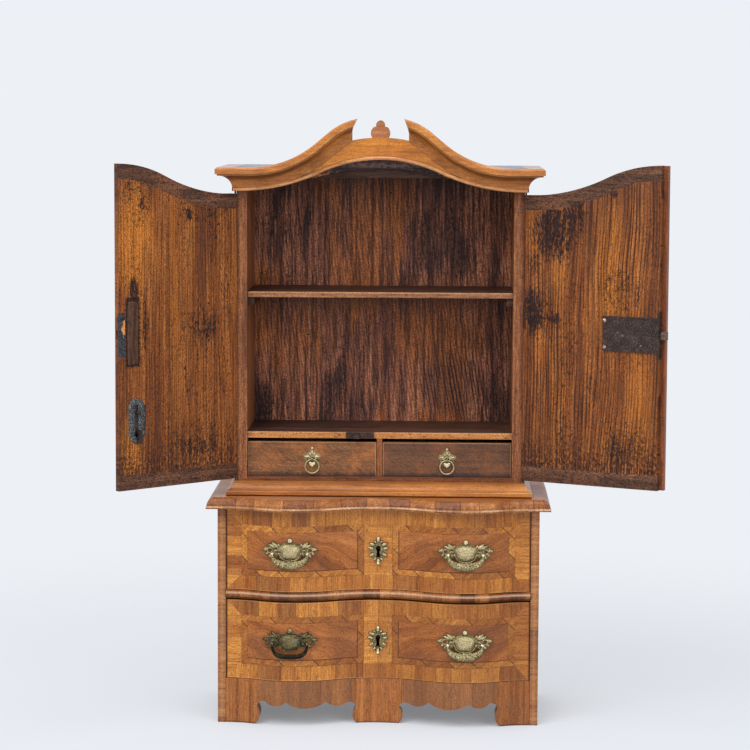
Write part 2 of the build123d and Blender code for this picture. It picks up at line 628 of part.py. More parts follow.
    for hand, side in (("left", -1), ("right", 1)):
        with BuildPart() as bail:
            x = side * WAVE_PEAK
            with BuildLine(face_plane(axis_y)) as bail_path:
                FilletPolyline(
                    (x - BAIL_HALF, handle_z), (x - BAIL_HALF, handle_z - BAIL_DROP),
                    (x + BAIL_HALF, handle_z - BAIL_DROP), (x + BAIL_HALF, handle_z),
                    radius=BAIL_BEND,
                )
            start = bail_path.wire() @ 0
            along = bail_path.wire() % 0
            with BuildSketch(Plane(origin=start, z_dir=along)):
                RegularPolygon(BAIL_BAR_R, side_count=WIRE_SIDES)
            sweep(path=bail_path.wire())
            for end in (-1, 1):
                inner = x + end * (POST_SPREAD - HANDLE_POST_R - BAIL_PIN_R)
                outer = x + end * (BAIL_HALF + BAIL_BAR_R / 2)
                with BuildSketch(Plane.YZ.offset(min(inner, outer))):
                    with Locations((axis_y, handle_z)):
                        RegularPolygon(BAIL_PIN_R, side_count=POST_SIDES)
                extrude(amount=abs(outer - inner))
        save(bail.part, f"{name}_drawer_bail_{hand}")

# ------------------------------------------------------------------ upper case
with BuildPart() as plinth:
    half = CASE_HALF + PLINTH_TOP_LEDGE
    ledge_front = DOOR_FRONT - PLINTH_TOP_LEDGE
    foot_z = CHEST_TOP_Z + PLINTH_FOOT
    cove = PLINTH_HEIGHT - PLINTH_FOOT
    board(
        -half - PLINTH_FLARE, half + PLINTH_FLARE, ledge_front - PLINTH_FLARE, CASE_BACK,
        CHEST_TOP_Z, foot_z,
    )
    foot_edges = plinth.edges().filter_by(lambda e: e.center().Y < CASE_BACK - 1)
    level = [e for e in foot_edges if abs((e @ 0).Z - (e @ 1).Z) < 0.1]
    fillet(level, radius=PLINTH_BEAD_R)
    run = PLINTH_FLARE - PLINTH_STEP
    sag_run, sag_z = PLINTH_SAG * run, foot_z + PLINTH_SAG * cove
    far_z = PLINTH_TOP_Z + MARGIN
    board(-half - run, half + run, ledge_front - run, CASE_BACK, foot_z, PLINTH_TOP_Z)
    for side in (-1, 1):
        with BuildSketch(face_plane(ledge_front - 2 * PLINTH_FLARE)):
            with BuildLine():
                ThreePointArc(
                    (side * half, PLINTH_TOP_Z), (side * (half + sag_run), sag_z),
                    (side * (half + run), foot_z),
                )
                Polyline(
                    (side * (half + run), foot_z), (side * (half + run + MARGIN), foot_z),
                    (side * (half + run + MARGIN), far_z), (side * half, far_z),
                    (side * half, PLINTH_TOP_Z),
                )
            make_face()
        extrude(amount=-(CASE_BACK - ledge_front + 3 * PLINTH_FLARE), mode=Mode.SUBTRACT)
    with BuildSketch(Plane.YZ.offset(-half - 2 * PLINTH_FLARE)):
        with BuildLine():
            ThreePointArc(
                (ledge_front, PLINTH_TOP_Z), (ledge_front - sag_run, sag_z),
                (ledge_front - run, foot_z),
            )
            Polyline(
                (ledge_front - run, foot_z), (ledge_front - run - MARGIN, foot_z),
                (ledge_front - run - MARGIN, far_z), (ledge_front, far_z),
                (ledge_front, PLINTH_TOP_Z),
            )
        make_face()
    extrude(amount=2 * half + 4 * PLINTH_FLARE, mode=Mode.SUBTRACT)
    with BuildSketch(Plane.XY.offset(PLINTH_TOP_Z)):
        with Locations((-PIVOT_X, PIVOT_Y), (PIVOT_X, PIVOT_Y)):
            Circle(PIVOT_R + PIVOT_CLEAR)
    extrude(amount=-(PIVOT_DEPTH + CLEAR), mode=Mode.SUBTRACT)
save(plinth.part, "plinth_moulding")

with BuildPart() as case_sides:
    for side in (-1, 1):
        near, far = sorted((side * CASE_INNER, side * CASE_HALF))
        board(near, far, CASE_FRONT, CASE_BACK, PLINTH_TOP_Z, ROOF_LOW)
save(case_sides.part, "case_sides")

with BuildPart() as case_base:
    board(-CASE_INNER, CASE_INNER, CASE_FRONT, CASE_INNER_BACK, PLINTH_TOP_Z, CASE_FLOOR)
save(case_base.part, "case_base")

with BuildPart() as case_back:
    board(-CASE_INNER, CASE_INNER, CASE_INNER_BACK, CASE_BACK, PLINTH_TOP_Z, ROOF_LOW)
save(case_back.part, "case_back")

with BuildPart() as lower_shelf:
    board(
        -CASE_INNER, CASE_INNER, SHELF_FRONT, CASE_INNER_BACK, LOWER_SHELF_LOW, LOWER_SHELF_TOP
    )
save(lower_shelf.part, "lower_shelf")

with BuildPart() as drawer_divider:
    board(
        -DIVIDER_THICK / 2, DIVIDER_THICK / 2, SHELF_FRONT, CASE_INNER_BACK,
        CASE_FLOOR, LOWER_SHELF_LOW,
    )
save(drawer_divider.part, "drawer_divider")

with BuildPart() as middle_shelf:
    inside = CASE_INNER - SHELF_END_GAP
    board(
        -inside, inside, SHELF_FRONT, CASE_INNER_BACK - SHELF_END_GAP,
        MIDDLE_SHELF_LOW, MIDDLE_SHELF_TOP,
    )
save(middle_shelf.part, "middle_shelf")

with BuildPart() as shelf_cleats:
    cleat_w, cleat_h, cleat_l = CLEAT
    for side in (-1, 1):
        near, far = sorted((side * CASE_INNER, side * (CASE_INNER - cleat_w)))
        cleat_front = SHELF_FRONT + CLEAT_BACK
        board(
            near, far, cleat_front, cleat_front + cleat_l,
            MIDDLE_SHELF_LOW - cleat_h, MIDDLE_SHELF_LOW,
        )
save(shelf_cleats.part, "shelf_cleats")

with BuildPart() as case_roof:
    board(-CASE_HALF, CASE_HALF, HEADER_BACK, CASE_BACK, ROOF_LOW, CORNICE_TOP)
save(case_roof.part, "case_roof")

with BuildPart() as header_rail:
    with BuildSketch(face_plane(CASE_FRONT)):
        with BuildLine():
            Line((-CASE_HALF, ROOF_LOW), (-HEADER_ARCH_HALF, ROOF_LOW))
            ThreePointArc(
                (-HEADER_ARCH_HALF, ROOF_LOW), (0, ROOF_LOW + HEADER_RISE),
                (HEADER_ARCH_HALF, ROOF_LOW),
            )
            Polyline(
                (HEADER_ARCH_HALF, ROOF_LOW), (CASE_HALF, ROOF_LOW), (CASE_HALF, CORNICE_TOP),
                (HEADER_CREST_HALF, CORNICE_TOP),
            )
            ThreePointArc(
                (HEADER_CREST_HALF, CORNICE_TOP), (0, CORNICE_TOP + HEADER_CREST_RISE),
                (-HEADER_CREST_HALF, CORNICE_TOP),
            )
            Polyline(
                (-HEADER_CREST_HALF, CORNICE_TOP), (-CASE_HALF, CORNICE_TOP),
                (-CASE_HALF, ROOF_LOW),
            )
        make_face()
    extrude(amount=-HEADER_THICK)
save(header_rail.part, "header_rail")

# ------------------------------------------------------------------ pediment
CREST_R = (CREST_HALF**2 + CREST_DROP**2) / (2 * CREST_DROP)


def crest_z(x):
    """Height of the crest between the necks."""
    return CREST_Z - CREST_R + sqrt(CREST_R**2 - x**2)


with BuildPart() as tympanum:
    for side in (-1, 1):
        with BuildSketch(face_plane(TYMPANUM_FRONT)):
            with BuildLine():
                arch_side(0, side, TYMPANUM_HALF)
                Line(
                    (side * TYMPANUM_HALF, ARCH_END_Z),
                    (side * TYMPANUM_HALF, CORNICE_TOP - SWAN_HEIGHT + SWAN_SEAT),
                )
                neck_line(SWAN_HEIGHT - SWAN_SEAT, side, TYMPANUM_HALF)
                seat_top = SWAN_CROWN_Z - SWAN_HEIGHT + SWAN_SEAT
                Polyline(
                    (side * SWAN_CROWN_X, seat_top), (0, seat_top), (0, ARCH_END_Z + ARCH_RISE)
                )
            make_face()
            with BuildLine():
                ThreePointArc(
                    (-CREST_HALF, crest_z(CREST_HALF)), (0, CREST_Z),
                    (CREST_HALF, crest_z(CREST_HALF)),
                )
                Polyline(
                    (CREST_HALF, crest_z(CREST_HALF)), (CREST_HALF, SWAN_CROWN_Z + MARGIN),
                    (-CREST_HALF, SWAN_CROWN_Z + MARGIN), (-CREST_HALF, crest_z(CREST_HALF)),
                )
            make_face(mode=Mode.SUBTRACT)
        extrude(amount=-TYMPANUM_THICK)
    with BuildSketch(Plane.XY.offset(ARCH_END_Z)):
        with Locations((-PIVOT_X, PIVOT_Y), (PIVOT_X, PIVOT_Y)):
            Circle(PIVOT_R + PIVOT_CLEAR)
    extrude(amount=PIVOT_DEPTH + CLEAR, mode=Mode.SUBTRACT)
save(tympanum.part, "tympanum")

with BuildPart() as arch_bead:
    with BuildSketch(face_plane(TYMPANUM_FRONT - BEAD_PROUD)):
        for side in (-1, 1):
            with BuildLine():
                arch_side(BEAD_HEIGHT, side, TYMPANUM_HALF)
                Line(
                    (side * TYMPANUM_HALF, ARCH_END_Z + BEAD_HEIGHT),
                    (side * TYMPANUM_HALF, ARCH_END_Z),
                )
                arch_side(0, side, TYMPANUM_HALF)
                Line((0, ARCH_END_Z + ARCH_RISE), (0, ARCH_END_Z + ARCH_RISE + BEAD_HEIGHT))
            make_face()
    extrude(amount=-BEAD_PROUD)
    long_edges = [
        e for e in arch_bead.edges().group_by(Axis.Y)[0] if e.bounding_box().size.X > 1
    ]
    chamfer(long_edges, length=BEAD_CHAMFER)
save(arch_bead.part, "arch_bead")

MOULDING = [  # cornice section: how far it stands forward, and its height
    (1.2, 0.0), (1.2, 1.4), (5.6, 9.4), (15.8, 13.8), (17.6, 13.8), (17.6, 15.6), (20.0, 15.6),
]
MOULDING_REACH = MOULDING[-1][0]
MOULDING_TOP_ROUND = 2.0


def moulding_lines(forward, back, seat, foot):
    """Cornice section, drawn forwards or mirrored, from its foot round to its foot."""
    def at(f, t):
        return (forward * f, t)

    (f0, t0), (f1, t1), (f2, t2), (f3, t3), (f4, t4), (f5, t5), (f6, t6) = MOULDING
    Polyline(at(0, foot), at(f0, foot), at(f1, t1))
    ThreePointArc(at(f1, t1), at(f2, t2), at(f3, t3))
    Polyline(at(f3, t3), at(f4, t4), at(f5, t5), at(f6, t6))
    Line(at(f6, t6), at(f6, SWAN_HEIGHT - MOULDING_TOP_ROUND))
    Line(
        at(f6, SWAN_HEIGHT - MOULDING_TOP_ROUND), at(f6 - MOULDING_TOP_ROUND, SWAN_HEIGHT)
    )
    inner = [at(0, seat), at(0, foot)] if seat > foot else [at(0, foot)]
    Polyline(
        at(f6 - MOULDING_TOP_ROUND, SWAN_HEIGHT), at(-back, SWAN_HEIGHT), at(-back, seat), *inner
    )


for hand, side in (("left", -1), ("right", 1)):
    corner = TYMPANUM_HALF + MOULDING_REACH
    mitre = Plane(
        origin=(side * TYMPANUM_HALF, TYMPANUM_FRONT, 0), z_dir=(side, 1, 0)
    )
    with BuildPart() as swan_neck:
        with BuildLine(face_plane(TYMPANUM_FRONT)) as neck_path:
            neck_line(SWAN_HEIGHT, side, corner + MARGIN)
        section_plane = Plane(
            origin=(side * (corner + MARGIN), TYMPANUM_FRONT, NECK_LOW),
            x_dir=(0, -1, 0), z_dir=(-1, 0, 0),
        )
        with BuildSketch(section_plane):
            with BuildLine():
                moulding_lines(1, TYMPANUM_THICK, SWAN_SEAT, 0)
            make_face()
        sweep(path=neck_path.wire())
        with BuildSketch(face_plane(TYMPANUM_FRONT - 2 * MOULDING_REACH)):
            with BuildLine():
                (tip_x, tip_up), (waist_x, waist_up) = NECK_CUT
                tip_z, cut_low = SWAN_CROWN_Z + tip_up, crest_z(CREST_HALF) - NECK_CUT_FOOT
                ThreePointArc(
                    (side * tip_x, tip_z), (side * waist_x, SWAN_CROWN_Z + waist_up),
                    (side * CREST_HALF, cut_low),
                )
                Polyline(
                    (side * CREST_HALF, cut_low), (0, cut_low), (0, tip_z), (side * tip_x, tip_z)
                )
            make_face()
        extrude(amount=-(4 * MOULDING_REACH), mode=Mode.SUBTRACT)
        split(bisect_by=mitre, keep=Keep.BOTTOM)
        with BuildSketch(face_plane(TYMPANUM_FRONT - 2 * MOULDING_REACH)):
            under_arch(BEAD_HEIGHT, ARCH_END_Z - SWAN_HEIGHT, side, 0, corner)
        extrude(amount=-2 * MOULDING_REACH, mode=Mode.SUBTRACT)
    with BuildPart() as side_return:
        section_plane = Plane(
            origin=(side * TYMPANUM_HALF, CASE_BACK, NECK_LOW), x_dir=(1, 0, 0), z_dir=(0, -1, 0)
        )
        with BuildSketch(section_plane):
            with BuildLine():
                foot = ARCH_END_Z - NECK_LOW
                moulding_lines(side, TYMPANUM_LEDGE, foot, foot)
            make_face()
        extrude(amount=CASE_BACK - TYMPANUM_FRONT + MOULDING_REACH + MARGIN)
        split(bisect_by=mitre, keep=Keep.TOP)
        near, far = sorted((side * CASE_HALF, side * TYMPANUM_HALF))
        board(
            near, far, TYMPANUM_FRONT, CASE_FRONT, ARCH_END_Z - MARGIN, CORNICE_TOP + MARGIN,
            mode=Mode.SUBTRACT,
        )
    save(swan_neck.part, f"swan_neck_{hand}")
    save(side_return.part, f"cornice_return_{hand}")

FINIAL = [  # right half: (start, through, end) arcs from the crest up
    ((9.6, 0.0), (11.4, 5.8), (9.2, 11.4)),
    ((9.2, 11.4), (7.2, 13.0), (4.9, 12.6)),
    ((4.9, 12.6), (4.6, 17.6), (0.0, 20.6)),
]
with BuildPart() as finial:
    with BuildSketch(face_plane(TYMPANUM_FRONT)):
        with BuildLine():
            for side in (-1, 1):
                for start, through, end in FINIAL:
                    base = crest_z(FINIAL[0][0][0])
                    ThreePointArc(*[(side * x, base + z) for x, z in (start, through, end)])
            foot_x = FINIAL[0][0][0]
            ThreePointArc((-foot_x, crest_z(foot_x)), (0, CREST_Z), (foot_x, crest_z(foot_x)))
        make_face()
    extrude(amount=-FINIAL_THICK)
save(finial.part, "finial")


# ------------------------------------------------------------------ small drawers and rings
RING_PLATE_OUTLINE = [  # right half, from the top leaf round to the foot, about the ring's axis
    (0.0, 14.5), (2.4, 11.0), (3.6, 7.2), (6.6, 6.2), (11.5, 3.2), (8.4, 0.6), (8.0, -2.2),
    (4.6, -6.4), (0.0, -9.6),
]
HEART_OUTLINE = [(0.0, -3.6), (2.3, -2.4), (4.3, -3.9), (3.9, -6.4), (0.0, -9.2)]

small_low = CASE_FLOOR + DRAWER_RUN_GAP
small_high = LOWER_SHELF_LOW - SMALL_TOP_GAP
small_near = DIVIDER_THICK / 2 + SMALL_GAP
small_far = CASE_INNER - SMALL_GAP
small_back = CASE_INNER_BACK - DRAWER_STOP_GAP
ring_z = small_low + RING_PIVOT_SHARE * (small_high - small_low)
ring_y = SHELF_FRONT - RING_STAND
for hand, side in (("left", -1), ("right", 1)):
    x0, x1 = sorted((side * small_near, side * small_far))
    middle_x = (x0 + x1) / 2
    box_front = SHELF_FRONT + SMALL_FRONT_THICK
    with BuildPart() as small_front:
        board(x0, x1, SHELF_FRONT, box_front, small_low, small_high)
    save(small_front.part, f"small_drawer_{hand}_front")

    with BuildPart() as small_box:
        box_top = small_high - SMALL_BOX_DROP
        t = SMALL_SIDE_THICK
        board(x0, x0 + t, box_front, small_back, small_low, box_top)
        board(x1 - t, x1, box_front, small_back, small_low, box_top)
        board(x0 + t, x1 - t, small_back - t, small_back, small_low, box_top)
        bottom_low = small_low + SMALL_BOTTOM_UP
        board(
            x0 + t, x1 - t, box_front, small_back - t, bottom_low, bottom_low + SMALL_BOTTOM_THICK
        )
    save(small_box.part, f"small_drawer_{hand}_box")

    with BuildPart() as ring_plate:
        with BuildSketch(face_plane(SHELF_FRONT)):
            mirrored_outline(middle_x, ring_z, RING_PLATE_OUTLINE)
        extrude(amount=RING_PLATE_THICK)
        with BuildSketch(face_plane(SHELF_FRONT)):
            mirrored_outline(middle_x, ring_z, HEART_OUTLINE)
        extrude(amount=HEART_THICK)
        with BuildSketch(Plane.YZ.offset(middle_x - RING_EYE_R / 2)):
            with Locations((ring_y, ring_z)):
                Circle(RING_EYE_R)
        extrude(amount=RING_EYE_R)
        with BuildSketch(Plane.YZ.offset(middle_x - RING_R)):
            with Locations((ring_y, ring_z)):
                Circle(RING_HOLE_R)
        extrude(amount=2 * RING_R, mode=Mode.SUBTRACT)
    save(ring_plate.part, f"small_drawer_{hand}_ring_plate")

    with BuildPart() as ring:
        with BuildSketch(face_plane(ring_y - RING_WIRE)):
            with Locations((middle_x, ring_z - RING_R)):
                RegularPolygon(
                    RING_R + RING_WIRE, side_count=RING_SIDES, major_radius=False,
                    rotation=180 / RING_SIDES,
                )
                RegularPolygon(
                    RING_R - RING_WIRE, side_count=RING_SIDES, major_radius=False,
                    rotation=180 / RING_SIDES, mode=Mode.SUBTRACT,
                )
        extrude(amount=-2 * RING_WIRE)
        chamfer(ring.edges().filter_by(Axis.Y, reverse=True), length=RING_BEVEL)
    save(ring.part, f"small_drawer_{hand}_ring")

# ------------------------------------------------------------------ doors
door_near = DOOR_MEET_GAP
door_far = PIVOT_X + DOOR_HEEL
batten_lift = -DOOR_TOP_GAP - BATTEN_HEIGHT
hinge_top = ARCH_END_Z - DOOR_TOP_GAP
strap_l, strap_w, strap_t = STRAP
bolt_x = -FLUSH_FROM_EDGE - DOOR_MEET_GAP
pocket_w, pocket_h, pocket_d = FLUSH_POCKET
tongue_h, tongue_t = DOOR_BOLT
plate_l, plate_h, plate_t = LOCK_PLATE
case_l, case_h, case_t = LOCK_BOX
astragal_back = DOOR_FRONT - ASTRAGAL_PROUD + ASTRAGAL_THICK
astragal_x = DOOR_MEET_GAP - ASTRAGAL_LAP
door_peak = ARCH_END_Z + ARCH_RISE - DOOR_TOP_GAP


def leaf_point(side, x, y, z):
    """Where a point of the shut leaf is at rest."""
    plane = leaf_plane(side, y)
    return plane.from_local_coords((x, z, 0))


def round_heel(builder, side):
    """Round the hinge edge about the pivot on the leaf's inner face."""
    corner = leaf_point(side, side * door_far, DOOR_BACK, DOOR_LOW)
    upright = [
        e for e in builder.edges().filter_by(Axis.Z)
        if hypot(e.center().X - corner.X, e.center().Y - corner.Y) < NEAR
    ]
    fillet(upright, radius=DOOR_HEEL)


def strap_box(side, z0, z1, mode):
    """The iron strap that carries a pivot pin, let into the end of a leaf."""
    inner, outer = PIVOT_X - strap_l, PIVOT_X + STRAP_ROUND * DOOR_HEEL
    a, b = sorted((side * inner, side * outer))
    leaf_box(side, a, b, DOOR_BACK - strap_w, DOOR_BACK - STRAP_SINK, z0, z1, mode)


def meeting_cut(side):
    """Left leaf: rebate for the astragal. Right leaf: seat of the astragal."""
    if side < 0:
        leaf_box(
            -1, -door_near - REBATE_WIDTH, 0, DOOR_FRONT - MARGIN, DOOR_FRONT + REBATE_DEPTH,
            DOOR_LOW - MARGIN, door_peak + MARGIN, Mode.SUBTRACT,
        )
    else:
        leaf_box(
            1, 0, astragal_x + ASTRAGAL_WIDTH, DOOR_FRONT - MARGIN, astragal_back,
            DOOR_LOW - MARGIN, door_peak + MARGIN, Mode.SUBTRACT,
        )


for hand, side in (("left", -1), ("right", 1)):
    with BuildPart() as panel:
        with BuildSketch(leaf_plane(side, DOOR_FRONT)):
            under_arch(batten_lift, DOOR_LOW + BATTEN_HEIGHT, side, door_near, door_far)
        extrude(amount=-DOOR_THICK)
        round_heel(panel, side)
        meeting_cut(side)
        if side < 0:
            with BuildSketch(leaf_plane(side, DOOR_BACK)):
                with Locations((bolt_x, FLUSH_LOW + pocket_h / 2)):
                    Ellipse(pocket_w / 2, pocket_h / 2)
            extrude(amount=pocket_d, mode=Mode.SUBTRACT)
            leaf_box(
                -1, -door_near - DOOR_BOLT_THROW - MORTISE_END, 0,
                DOOR_BACK - DOOR_BOLT_IN - tongue_t - BOLT_PLAY,
                DOOR_BACK - DOOR_BOLT_IN + BOLT_PLAY,
                LOCK_Z - tongue_h / 2 - BOLT_PLAY, LOCK_Z + tongue_h / 2 + BOLT_PLAY,
                Mode.SUBTRACT,
            )
            strike_h, strike_w, strike_t = STRIKE
            leaf_box(
                -1, -door_near - strike_w, 0, DOOR_BACK - strike_t, DOOR_BACK + MARGIN,
                LOCK_Z - strike_h / 2, LOCK_Z + strike_h / 2, Mode.SUBTRACT,
            )
        else:
            leaf_box(
                1, door_near + FOREND[2], door_near + FOREND[2] + case_l,
                DOOR_BACK - case_t, DOOR_BACK + MARGIN,
                LOCK_Z - case_h / 2, LOCK_Z + case_h / 2, Mode.SUBTRACT,
            )
            leaf_box(
                1, 0, door_near + FOREND[2], astragal_back, DOOR_BACK + MARGIN,
                LOCK_Z - FOREND[0] / 2, LOCK_Z + FOREND[0] / 2, Mode.SUBTRACT,
            )
            with BuildSketch(leaf_plane(side, DOOR_FRONT)):
                key_sketch(door_near + LOCK_KEY_IN, LOCK_Z)
            extrude(amount=-DOOR_THICK, mode=Mode.SUBTRACT)
    save(panel.part, f"{hand}_door_panel")

    with BuildPart() as battens:
        with BuildSketch(leaf_plane(side, DOOR_FRONT)):
            under_arch(-DOOR_TOP_GAP, DOOR_LOW, side, door_near, door_far)
        extrude(amount=-DOOR_THICK)
        with BuildSketch(leaf_plane(side, DOOR_FRONT - MARGIN)):
            under_arch(batten_lift, DOOR_LOW + BATTEN_HEIGHT, side, 0, door_far + MARGIN)
        extrude(amount=-DOOR_THICK - 2 * MARGIN, mode=Mode.SUBTRACT)
        round_heel(battens, side)
        meeting_cut(side)
        strap_box(side, DOOR_LOW - MARGIN, DOOR_LOW + strap_t, Mode.SUBTRACT)
        strap_box(side, hinge_top - strap_t, hinge_top + MARGIN, Mode.SUBTRACT)
    save(battens.part, f"{hand}_door_battens")

    with BuildPart() as irons:
        strap_box(side, DOOR_LOW, DOOR_LOW + strap_t, Mode.ADD)
        strap_box(side, hinge_top - strap_t, hinge_top, Mode.ADD)
        with BuildSketch(Plane.XY.offset(PLINTH_TOP_Z - PIVOT_DEPTH)):
            with Locations((side * PIVOT_X, PIVOT_Y)):
                Circle(PIVOT_R)
        extrude(amount=PIVOT_DEPTH + DOOR_BOTTOM_GAP + strap_t)
        with BuildSketch(Plane.XY.offset(hinge_top - strap_t)):
            with Locations((side * PIVOT_X, PIVOT_Y)):
                Circle(PIVOT_R)
        extrude(amount=strap_t + DOOR_TOP_GAP + PIVOT_DEPTH)
        if side < 0:
            leaf_box(
                -1, -door_near - strike_w, -door_near, DOOR_BACK - strike_t, DOOR_BACK,
                LOCK_Z - strike_h / 2, LOCK_Z + strike_h / 2,
            )
    save(irons.part, "left_door_irons" if side < 0 else "right_door_pivots")

with BuildPart() as flush_bolt:
    bar_w, bar_h, bar_t = FLUSH_BAR
    nose_w, nose_d, nose_l = NOSE
    knob_r, knob_h, knob_up = FLUSH_KNOB
    bar_low = FLUSH_LOW + FLUSH_BAR_UP
    nose_top = bar_low + NOSE_UP
    nose_low = nose_top - nose_l
    floor_y = DOOR_BACK - pocket_d + CLEAR
    leaf_box(
        -1, bolt_x - bar_w / 2, bolt_x + bar_w / 2, floor_y, floor_y + bar_t,
        bar_low, bar_low + bar_h,
    )
    leaf_box(
        -1, bolt_x - nose_w / 2, bolt_x + nose_w / 2, floor_y, DOOR_BACK + NOSE_STAND + nose_d,
        nose_top - NOSE_ROOT, nose_top,
    )
    leaf_box(
        -1, bolt_x - nose_w / 2, bolt_x + nose_w / 2, DOOR_BACK + NOSE_STAND,
        DOOR_BACK + NOSE_STAND + nose_d, nose_low, nose_top,
    )
    with BuildSketch(leaf_plane(-1, floor_y + bar_t)):
        with Locations((bolt_x, bar_low + knob_up)):
            Circle(knob_r)
    extrude(amount=-knob_h)
save(flush_bolt.part, "left_door_bolt")

with BuildPart() as bolt_keeper:
    keeper_w, keeper_h, keeper_t = KEEPER
    keeper_x = bolt_x + KEEPER_SHIFT
    board(
        keeper_x - keeper_w / 2, keeper_x + keeper_w / 2, SHELF_FRONT - keeper_t, SHELF_FRONT,
        LOWER_SHELF_TOP - keeper_h, LOWER_SHELF_TOP,
    )
    staple_top = nose_low - STAPLE_GAP
    hole_w, hole_front = nose_w / 2 + BOLT_PLAY, DOOR_BACK + NOSE_STAND - BOLT_PLAY
    hole_back = DOOR_BACK + NOSE_STAND + nose_d + BOLT_PLAY
    board(
        bolt_x - hole_w - STAPLE_WALL, bolt_x + hole_w + STAPLE_WALL,
        hole_front - STAPLE_FACE, SHELF_FRONT, staple_top - STAPLE_HEIGHT, staple_top,
    )
    board(
        bolt_x - hole_w, bolt_x + hole_w, hole_front, hole_back,
        staple_top - STAPLE_HEIGHT - MARGIN, staple_top + MARGIN, mode=Mode.SUBTRACT,
    )
save(bolt_keeper.part, "bolt_keeper")

with BuildPart() as astragal:
    leaf_box(
        1, astragal_x, astragal_x + ASTRAGAL_WIDTH, DOOR_FRONT - ASTRAGAL_PROUD, astragal_back,
        DOOR_LOW, door_peak - ASTRAGAL_SHORT,
    )
    front_y = leaf_point(1, astragal_x, DOOR_FRONT - ASTRAGAL_PROUD, 0)
    far_y = leaf_point(1, astragal_x + ASTRAGAL_WIDTH, DOOR_FRONT - ASTRAGAL_PROUD, 0)
    outer = [
        e for e in astragal.edges().filter_by(Axis.Z)
        if min(
            hypot(e.center().X - p.X, e.center().Y - p.Y) for p in (front_y, far_y)
        ) < NEAR
    ]
    fillet(outer, radius=ASTRAGAL_ROUND)
save(astragal.part, "right_door_astragal")

with BuildPart() as door_lock:
    forend_h, forend_w, forend_t = FOREND
    inner_edge = door_near + forend_t
    leaf_box(
        1, inner_edge, inner_edge + case_l, DOOR_BACK - case_t, DOOR_BACK,
        LOCK_Z - case_h / 2, LOCK_Z + case_h / 2,
    )
    leaf_box(
        1, inner_edge, inner_edge + plate_l, DOOR_BACK, DOOR_BACK + plate_t,
        LOCK_Z - plate_h / 2, LOCK_Z + plate_h / 2,
    )
    leaf_box(
        1, door_near, inner_edge, astragal_back, DOOR_BACK + plate_t,
        LOCK_Z - forend_h / 2, LOCK_Z + forend_h / 2,
    )
    leaf_box(
        1, 0, inner_edge + TONGUE_IN + TONGUE_ROOM + DOOR_BOLT_THROW,
        DOOR_BACK - DOOR_BOLT_IN - tongue_t - CLEAR, DOOR_BACK - DOOR_BOLT_IN + CLEAR,
        LOCK_Z - tongue_h / 2 - CLEAR, LOCK_Z + tongue_h / 2 + CLEAR, Mode.SUBTRACT,
    )
    with BuildSketch(leaf_plane(1, DOOR_BACK - case_t)):
        key_sketch(door_near + LOCK_KEY_IN, LOCK_Z)
    extrude(amount=-(case_t - DOOR_BOLT_IN - tongue_t - CLEAR), mode=Mode.SUBTRACT)
save(door_lock.part, "right_door_lock")

with BuildPart() as door_bolt:
    leaf_box(
        1, door_near - DOOR_BOLT_THROW, inner_edge + TONGUE_IN,
        DOOR_BACK - DOOR_BOLT_IN - tongue_t, DOOR_BACK - DOOR_BOLT_IN,
        LOCK_Z - tongue_h / 2, LOCK_Z + tongue_h / 2,
    )
save(door_bolt.part, "right_door_lock_bolt")
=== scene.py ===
"""Looks of the small cabinet on its serpentine chest: materials, brasswork, irons, light and camera.

Lengths are in metres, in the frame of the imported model: X to the right, the front faces -Y, +Z up.
"""

import json
import math

import bmesh
import bpy
from mathutils import Matrix, Vector
from mathutils.bvhtree import BVHTree

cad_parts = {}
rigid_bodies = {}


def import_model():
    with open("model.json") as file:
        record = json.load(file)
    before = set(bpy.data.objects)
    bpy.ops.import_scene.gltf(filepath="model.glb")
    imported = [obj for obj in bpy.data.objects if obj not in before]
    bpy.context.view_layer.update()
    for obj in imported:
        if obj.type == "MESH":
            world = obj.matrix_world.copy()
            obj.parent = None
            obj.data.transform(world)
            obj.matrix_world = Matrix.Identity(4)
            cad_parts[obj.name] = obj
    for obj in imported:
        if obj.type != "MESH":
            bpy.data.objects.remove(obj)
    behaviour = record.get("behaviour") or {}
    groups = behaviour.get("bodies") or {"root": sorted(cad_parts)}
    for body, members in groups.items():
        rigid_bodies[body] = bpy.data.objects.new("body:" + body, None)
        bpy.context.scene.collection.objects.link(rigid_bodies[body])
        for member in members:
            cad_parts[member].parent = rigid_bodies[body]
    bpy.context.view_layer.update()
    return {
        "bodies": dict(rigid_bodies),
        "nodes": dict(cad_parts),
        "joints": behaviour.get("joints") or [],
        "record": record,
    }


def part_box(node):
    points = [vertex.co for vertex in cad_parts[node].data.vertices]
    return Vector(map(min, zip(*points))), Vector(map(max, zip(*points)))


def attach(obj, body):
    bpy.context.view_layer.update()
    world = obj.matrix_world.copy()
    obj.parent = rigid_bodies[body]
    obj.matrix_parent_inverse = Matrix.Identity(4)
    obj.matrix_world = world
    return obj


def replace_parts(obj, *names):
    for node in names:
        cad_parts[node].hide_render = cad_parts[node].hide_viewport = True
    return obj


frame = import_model()
NODES = frame["nodes"]
JOINTS = {joint["name"]: joint for joint in frame["joints"]}
MM = 0.001
HANDLE_X = 104 * MM  # a handle's middle, from the middle of the chest


# ------------------------------------------------------------------ node trees
# Colours are screen colours where their numbers are whole (0 to 255), and linear where they aren't.
def srgb(colour):
    """A screen colour as the linear colour that shaders take."""
    return tuple(
        c / 12.92 if c <= 0.04045 else ((c + 0.055) / 1.055) ** 2.4 for c in (part / 255 for part in colour)
    )


def opaque(colour):
    """A colour's four numbers for a socket."""
    return (*(srgb(colour) if all(isinstance(c, int) for c in colour) else colour), 1.0)


